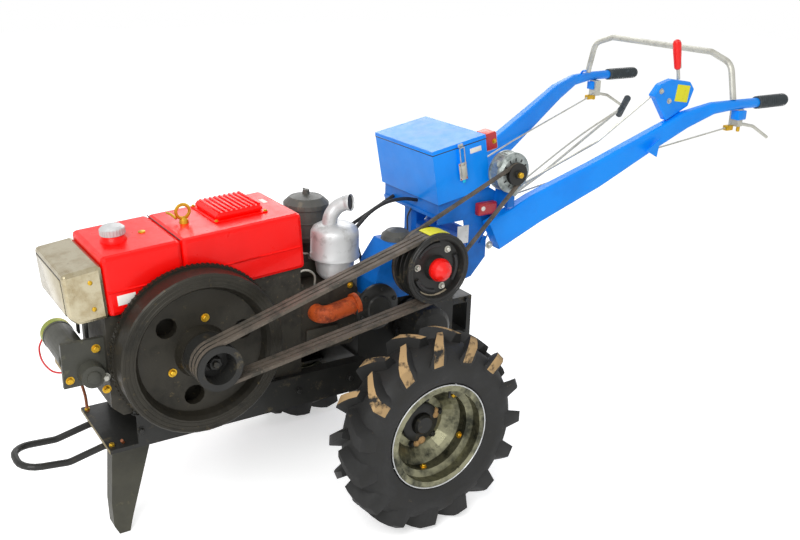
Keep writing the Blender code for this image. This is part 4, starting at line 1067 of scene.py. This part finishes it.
# %% Box clasp
BOX_WALL = 0.166    # from the middle of the box to its side
clasp = bmesh.new()
add_slab(clasp, on_box, (BOX_WALL + 0.0070, 0.0865, -0.118), (BOX_WALL + 0.0092, 0.1155, -0.062), 0.0008)
add_slab(clasp, on_box, (BOX_WALL + 0.0092, 0.0920, -0.108), (BOX_WALL + 0.0150, 0.1100, -0.070), 0.0015)
for y in (0.0925, 0.1095):
    add_bar(clasp, [on_box(BOX_WALL + 0.0125, y, -0.078), on_box(BOX_WALL + 0.0135, y, -0.012)], 0.0014, 8)
add_bar(clasp, [on_box(BOX_WALL + 0.0135, y, -0.012) for y in (0.0925, 0.1095)], 0.0014, 8)
piece("box_clasp", clasp, bare_steel)
pins = bmesh.new()
for y in (0.0895, 0.1125):
    for z in (-0.114, -0.066):
        rivet = [(0, 0.0024), (0.0012, 0.0020), (0.0016, 0.0010)]
        add_turned(pins, on_box(BOX_WALL + 0.0092, y, z), X_AXIS, rivet, 10)
piece("clasp_rivets", pins, rust_iron)
tab = bmesh.new()
add_slab(tab, on_box, (BOX_WALL + 0.0070, 0.0960, -0.128), (BOX_WALL + 0.0088, 0.1060, -0.119), 0.0006)
piece("clasp_safety_tab", tab, cyan_paint)
hook = bmesh.new()
add_slab(hook, on_box, (BOX_WALL + 0.0062, 0.0915, -0.0115), (BOX_WALL + 0.0080, 0.1105, -0.0015), 0.0005)
add_bar(hook, [on_box(BOX_WALL + 0.0092, y, -0.0050) for y in (0.0960, 0.1060)], 0.0020, 8)
piece("lid_hook", hook, bare_steel, body="lid")
print("clasp on the box's side wall at", BOX_WALL)

# %% [markdown]
# ## Edges of the box
# The lid's sheet is folded over at its rim, and a dark line shows where it meets the box. The
# brim rides on the lid, and the line stays on the box. A band stiffens the apron's edge.

# %% Box edges
BOX_LIP = 0.012
BOX_LONG = 0.205
# The small white patch is a plate on the box's side; its white is partly a painted glint.
label = bmesh.new()
add_slab(label, on_box, (BOX_WALL - 0.001, 0.140, -0.046), (BOX_WALL + 0.0006, 0.184, -0.030), 0.0002)
piece("box_plate_painted_glint", label, blank_white)
seam = bmesh.new()
low = (-BOX_WALL - 0.0005, -0.0005, -BOX_LIP - 0.0030)
high = (BOX_WALL + 0.0005, BOX_LONG + 0.0004, -BOX_LIP - 0.0004)
add_slab(seam, on_box, low, high, 0.0001)
piece("lid_shadow_seam", seam, cable_black)
brim = bmesh.new()
for low, high in (
    ((-BOX_WALL - 0.0010, -0.0012, -BOX_LIP), (BOX_WALL + 0.0010, 0.0006, -BOX_LIP + 0.0045)),
    ((BOX_WALL - 0.0006, -0.0012, -BOX_LIP), (BOX_WALL + 0.0012, BOX_LONG + 0.0006, -BOX_LIP + 0.0045)),
):
    add_slab(brim, on_box, low, high, 0.0005)
piece("lid_folded_brim", brim, blue_enamel, body="lid")
# The band takes the darker blue, which is painted shade under the box.
band = bmesh.new()
add_box(band, at(-0.156, 0.1835, 0.5620), at(0.156, 0.1865, 0.5740), 0.0008)
piece("apron_stiffener", band, shaded_blue_enamel)
print("box edges: 1 seam and 2 brims")

# %% [markdown]
# ## Under the box, and its lamps
# Lead tubes come out under the box, and a stay bar props its tray. The lamps get a screw, a
# clear lens and a white spot that is the bulb's painted highlight.

# %% Tubes, stay and lamps
tubes = bmesh.new()
add_wire(tubes, [
    (0.055, -0.060, 0.535), (0.052, 0.000, 0.585), (0.050, 0.062, 0.610),
    (0.046, 0.130, 0.612), (0.040, 0.184, 0.600),
], 0.0060, sides=10)
add_wire(tubes, [
    (0.010, 0.186, 0.566), (0.012, 0.170, 0.540), (0.020, 0.165, 0.505),
    (0.030, 0.160, 0.478), (0.045, 0.150, 0.462),
], 0.0030)
piece("box_lead_tubes", tubes, cable_black)
stay = bmesh.new()
add_bar(stay, [at(-0.100, 0.020, 0.500), at(-0.100, 0.186, 0.580)], 0.0060, 10)
add_bar(stay, [at(-0.100, 0.022, 0.501), at(-0.070, 0.060, 0.336)], 0.0060, 10)
piece("box_stay_bar", stay, black_enamel)
bits = bmesh.new()
lamp_low, lamp_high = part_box("lamp_box")
screw_seat = Vector((lamp_high.x, (lamp_low.y + lamp_high.y) / 2 + 0.010, lamp_low.z + 0.034))
add_bolt(bits, screw_seat, X_AXIS, 0.0055, 0.006)
piece("lamp_screw", bits, brass)
lens = bmesh.new()
add_slab(lens, on_box, (0.104, BOX_LONG + 0.012, -0.0062), (0.156, BOX_LONG + 0.046, -0.0048), 0.0006)
piece("lamp_top_lens", lens, pink_plastic)
# The white spot is the marker bulb's painted highlight.
spot = bmesh.new()
marker_low, marker_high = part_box("marker_lamp")
spot_seat = Vector((marker_high.x - 0.001, marker_low.y + 0.018, marker_high.z - 0.018))
add_turned(spot, spot_seat, X_AXIS, [(0, 0.0085), (0.002, 0.0075), (0.003, 0.0040)], 20)
piece("marker_bulb_painted_highlight", spot, blank_white)
print("under the box: 2 tubes and a stay")

# %% [markdown]
# ## Clutch cover plates
# A blank yellow sticker wraps part of the clutch pulley's rim, and a plain steel plate sits
# behind it. A pale arc at the bottom of the recess is a painted highlight, and a bolted cover closes the
# housing.

# %% Clutch plates
patch = bmesh.new()
arc = [68 + 38 * i / 8 for i in range(9)]
rows = []
for x in (clutch_face - 0.068, clutch_face - 0.010):
    for radius in (0.1106, 0.1118):
        rows.append([patch.verts.new(around(clutch, x, radius, turn)) for turn in arc])
for first, second in ((0, 1), (1, 3), (3, 2), (2, 0)):
    for i in range(len(arc) - 1):
        patch.faces.new((rows[first][i], rows[first][i + 1], rows[second][i + 1], rows[second][i]))
piece("blank_yellow_patch", patch, blank_yellow)
plate = bmesh.new()
add_box(plate, at(0.196, 0.236, 0.486), at(0.199, 0.280, 0.545), 0.001)
piece("tension_bracket_plate", plate, silver_paint)
# The pale arc is a painted highlight at the bottom of the recess.
dust = bmesh.new()
arc = [232 + 66 * i / 10 for i in range(11)]
add_bar(dust, [around(clutch, clutch_face - 0.0178, 0.088, turn) for turn in arc], 0.0042, 8)
piece("clutch_recess_painted_highlight", dust, pale_highlight_paint)
cover = bmesh.new()
cover_seat = at(0.1702, -0.044, 0.322)
profile = [(0, 0), (0, 0.074), (0.010, 0.074), (0.014, 0.068), (0.016, 0.040), (0.022, 0.036), (0.024, 0.0)]
add_turned(cover, cover_seat, X_AXIS, profile, 48)
for k in range(6):
    add_bolt(cover, around(cover_seat, cover_seat.x + 0.014, 0.061, 60 * k + 20), X_AXIS, 0.0055, 0.005)
piece("clutch_housing_cover", cover, black_enamel)
print("clutch: 1 patch, 1 plate, 1 cover")

# %% [markdown]
# ## Lever handles and grips
# The clutch lever has a long red knob and the gear lever a black T-handle. The grips have
# moulded ribs, a ring each, set along both bars by one loop.

# %% Handles and grips
GRIP_RIBS = 13
RIB_GAP = 0.0108


def handle_of(low, high):
    """Start, direction and length of a handle between two points."""
    return low, (high - low).normalized(), (high - low).length


knob = bmesh.new()
start, way, long = handle_of(at(0.302, 1.0400, 1.006), at(0.302, 1.0195, 1.103))
add_turned(knob, start, way, [
    (0, 0.0080), (0.004, 0.0112), (long * 0.55, 0.0138), (long - 0.012, 0.0142),
    (long - 0.003, 0.0105), (long, 0.0050),
], 24)
piece("clutch_knob", knob, red_plastic)
handle = bmesh.new()
start, way, long = handle_of(at(-0.046, 1.1496, 0.7862), at(0.046, 1.0904, 0.8678))
add_turned(handle, start, way, [
    (0, 0.0095), (0.003, 0.0124), (long / 2, 0.0118), (long - 0.003, 0.0124), (long, 0.0095),
], 20)
socket = start + way * long / 2 + Vector((0, -0.028, -0.022))
add_turned(handle, socket, (0, 0.03, 0.024), [(0, 0.0080), (0.034, 0.0105)], 16)
piece("gear_handle_sleeve", handle, grip_rubber)
rod = bmesh.new()
add_wire(rod, [(-0.014, 1.108, 0.811), (-0.030, 0.900, 0.705), (-0.050, 0.560, 0.500)], 0.0036)
piece("second_gear_rod", rod, bare_steel)
ribs = bmesh.new()
for side in (-1, 1):
    for k in range(GRIP_RIBS):
        band = [(-0.0022, 0.0216), (-0.0010, 0.0228), (0.0010, 0.0228), (0.0022, 0.0216)]
        spot = at(side * 0.365, 1.409 + RIB_GAP * k, 0.880)
        add_turned(ribs, spot, (0, 1, 0), band, 24, hollow=True)
piece("grip_ribs", ribs, grip_rubber)
print("handles: 2, grip ribs:", 2 * GRIP_RIBS)

# %% [markdown]
# ## Steering levers and throttle
# Brass clamps hold the steering levers under a blue bracket on each bar, and a small throttle
# lever sits on the right bar.

# %% Steering levers
clamps = bmesh.new()
brackets = bmesh.new()
for side in (-1, 1):
    x = side * 0.347
    add_box(clamps, at(x - 0.010, 1.268, 0.788), at(x + 0.010, 1.300, 0.806), 0.002)
    barrel = [(0, 0.007), (0.034, 0.007), (0.036, 0.005)]
    add_turned(clamps, at(x - 0.014 * side, 1.315, 0.815), (side, 0, 0), barrel, 14)
    stud = [(0, 0.0065), (0.016, 0.0065), (0.018, 0.004)]
    add_turned(clamps, at(side * 0.360, 1.322, 0.800), -UP, stud, 12)
    x = side * 0.360
    add_box(brackets, at(x - 0.017, 1.294, 0.826), at(x + 0.017, 1.337, 0.858), 0.003)
piece("steering_lever_clamps", clamps, brass)
piece("steering_lever_brackets", brackets, blue_enamel)
throttle = bmesh.new()
base = [(0, 0.013), (0.012, 0.013), (0.016, 0.010), (0.022, 0.010)]
add_turned(throttle, at(-0.362, 1.240, 0.862), (0, 0.25, 1), base, 18)
add_wire(throttle, [
    (-0.362, 1.245, 0.880), (-0.355, 1.236, 0.894), (-0.336, 1.228, 0.906), (-0.318, 1.224, 0.909),
], 0.0042)
piece("throttle_lever", throttle, blue_enamel)
print("steering levers: 2 clamps and a throttle")

# %% [markdown]
# ## Handlebar plates and bolts
# A blank yellow plate leans with the lever quadrant. A box turned about its own middle makes it.
# Small fins under the bars guide the rods, and bolts hold the bars to their base.

# %% Handlebar plates
QUADRANT_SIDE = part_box("lever_quadrant")[1].x
plate = bmesh.new()
plate_middle = at(0, 1.062, 0.926)
plate_middle.x = QUADRANT_SIDE + 0.0006
plate_half = Vector((0.0008, 0.031, 0.028))
lean = Matrix.Rotation(math.radians(-8), 3, "X")
add_box(plate, plate_middle - plate_half, plate_middle + plate_half, 0, lean, plate_middle)
piece("blank_yellow_plate", plate, blank_yellow)
bolts = bmesh.new()
for y, z in ((0.958, 0.940), (1.000, 0.905)):
    add_bolt(bolts, on_axis(at(0, y, z), QUADRANT_SIDE), X_AXIS, 0.0065, 0.006)
for side in (-1, 1):
    for y, z in ((0.425, 0.487), (0.385, 0.455)):
        add_bolt(bolts, at(side * 0.1745, y, z), (side, 0, 0), 0.0095, 0.008)
piece("handlebar_bolts", bolts, bare_steel)
fin = bmesh.new()
corners = [at(0, 0.905, 0.748), at(0, 0.965, 0.782), at(0, 0.956, 0.722)]
for side in (-1, 1):
    rows = []
    for x in (-0.002, 0.002):
        rows.append([fin.verts.new(on_axis(c, side * 0.330 + x)) for c in corners])
    fin.faces.new(rows[0])
    fin.faces.new(rows[1])
    for i in range(3):
        j = (i + 1) % 3
        fin.faces.new((rows[0][i], rows[0][j], rows[1][j], rows[1][i]))
piece("rod_guide_fins", fin, blue_enamel)
print("handlebar: 1 plate, 6 bolts and 2 fins")

# %% [markdown]
# ## Wheel hubs
# The rim is bolted to the hub's flange with six bolts, and its two halves with five. These turn
# with the wheel, so each piece rides on its wheel's body. The rim's lip is a bright ring.

# %% Hub flanges
FLANGE = [
    (0, 0.0640), (0.011, 0.0640), (0.015, 0.0580), (0.0155, 0.0352), (0.0100, 0.0352),
    (0.0100, 0.0455), (0, 0.0455),
]
LIP_RING = [
    (0, 0.1655), (0.0016, 0.1668), (0.0016, 0.1685), (0, 0.1695), (-0.0016, 0.1685), (-0.0016, 0.1668),
]
VALVE = [(0, 0.0065), (0.012, 0.0055), (0.014, 0.0040), (0.028, 0.0040), (0.030, 0.0030)]
for side, sign in (("left", 1), ("right", -1)):
    body = f"wheel_{side}"
    outside = (sign, 0, 0)
    disc_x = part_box(f"rim_{side}")[1 if sign == 1 else 0].x - sign * 0.1139
    flange, bolts, well, lip, stem = (bmesh.new() for _ in range(5))
    add_turned(flange, on_axis(AXLE, disc_x), outside, FLANGE, 36, hollow=True)
    for k in range(6):
        add_bolt(bolts, around(AXLE, disc_x, 0.075, 60 * k + 12), outside, 0.0085, 0.009)
    for k in range(5):
        spot = around(AXLE, sign * 0.418, 0.1278, 72 * k - 25)
        add_bolt(well, spot, on_axis(AXLE, spot.x) - spot, 0.0075, 0.007)
    add_turned(lip, on_axis(AXLE, sign * 0.4755), outside, LIP_RING, 96, hollow=True)
    spot = around(AXLE, sign * 0.446, 0.1465, 70)
    inward = (on_axis(AXLE, spot.x) - spot).normalized()
    add_turned(stem, spot, inward + X_AXIS * (sign * 0.4), VALVE, 12)
    piece(f"hub_flange_{side}", flange, black_enamel, body=body)
    piece(f"hub_bolts_{side}", bolts, black_enamel, body=body)
    piece(f"rim_bolts_{side}", well, brass, body=body)
    piece(f"rim_lip_{side}", lip, silver_paint, body=body)
    piece(f"tyre_valve_{side}", stem, cable_black, body=body)
print("hub flanges, 6 hub bolts and 5 rim bolts a wheel")

# %% [markdown]
# ## Dried soil
# Field soil dries where it was thrown: on the flange of the left hub. Each clod is a low cone,
# and a table gives its place round the hub, its reach from the middle and its size.

# %% Dried soil on the left hub
clods = bmesh.new()
for turn, reach, size in ((-85, 0.060, 0.016), (-100, 0.070, 0.011), (15, 0.055, 0.013), (28, 0.062, 0.009)):
    clod = [(-0.006, size), (0.001, size * 0.85), (0.004, size * 0.45), (0.005, size * 0.15)]
    add_turned(clods, around(AXLE, 0.3755, reach, turn), (1, 0.1, 0.05), clod, 9)
piece("hub_soil", clods, soil, body="wheel_left", smooth=60)
print("soil clods on the hub: 4")

# %% [markdown]
# ## Frame and gearbox fastenings
# The frame's rails carry the engine's foot bolts, and a ring of bolts holds the gearbox's side
# cover. The hitch pin stands in its bracket, and the front plate's edge is scuffed bare.

# %% Frame and gearbox fastenings
bolts = bmesh.new()
for sign in (-1, 1):
    for y in (-0.80, -0.66, -0.52, -0.38):
        add_bolt(bolts, at(sign * 0.133, y, 0.135), UP, 0.0075, 0.008)
    for y in (-0.79, -0.30, -0.12):
        add_bolt(bolts, at(sign * 0.145, y, 0.085), (sign, 0, 0), 0.0085, 0.008)
    for y in (0.332, 0.390):
        for z in (0.098, 0.222):
            add_bolt(bolts, at(sign * 0.060, y, z), (sign, 0, 0), 0.0075, 0.007)
cover_middle = at(0.117, 0.150, 0.215)
for k in range(8):
    add_bolt(bolts, around(cover_middle, cover_middle.x, 0.080, 45 * k + 10), X_AXIS, 0.006, 0.006)
piece("frame_and_gearbox_bolts", bolts, black_enamel)
pin = bmesh.new()
add_turned(pin, at(0, 0.362, 0.235), UP, [
    (-0.165, 0.0085), (-0.160, 0.0105), (0.010, 0.0105), (0.012, 0.017), (0.020, 0.017), (0.023, 0.014),
], 24)
piece("hitch_pin", pin, bare_steel)
plated = bmesh.new()
for sign in (-1, 1):
    add_bolt(plated, at(sign * 0.0330, -0.745, -0.010), (sign, 0, 0), 0.0085, 0.007)
    add_bolt(plated, at(sign * 0.120, -0.868, 0.045), UP, 0.0080, 0.008)
piece("leg_pin_nuts", plated, brass)
edge = bmesh.new()
add_box(edge, at(-0.1445, -0.8808, 0.0352), at(0.1445, -0.8798, 0.0448), 0.0003)
piece("front_plate_edge", edge, scuffed)
print("frame: 8 foot bolts, 6 rail bolts, 8 cover bolts")
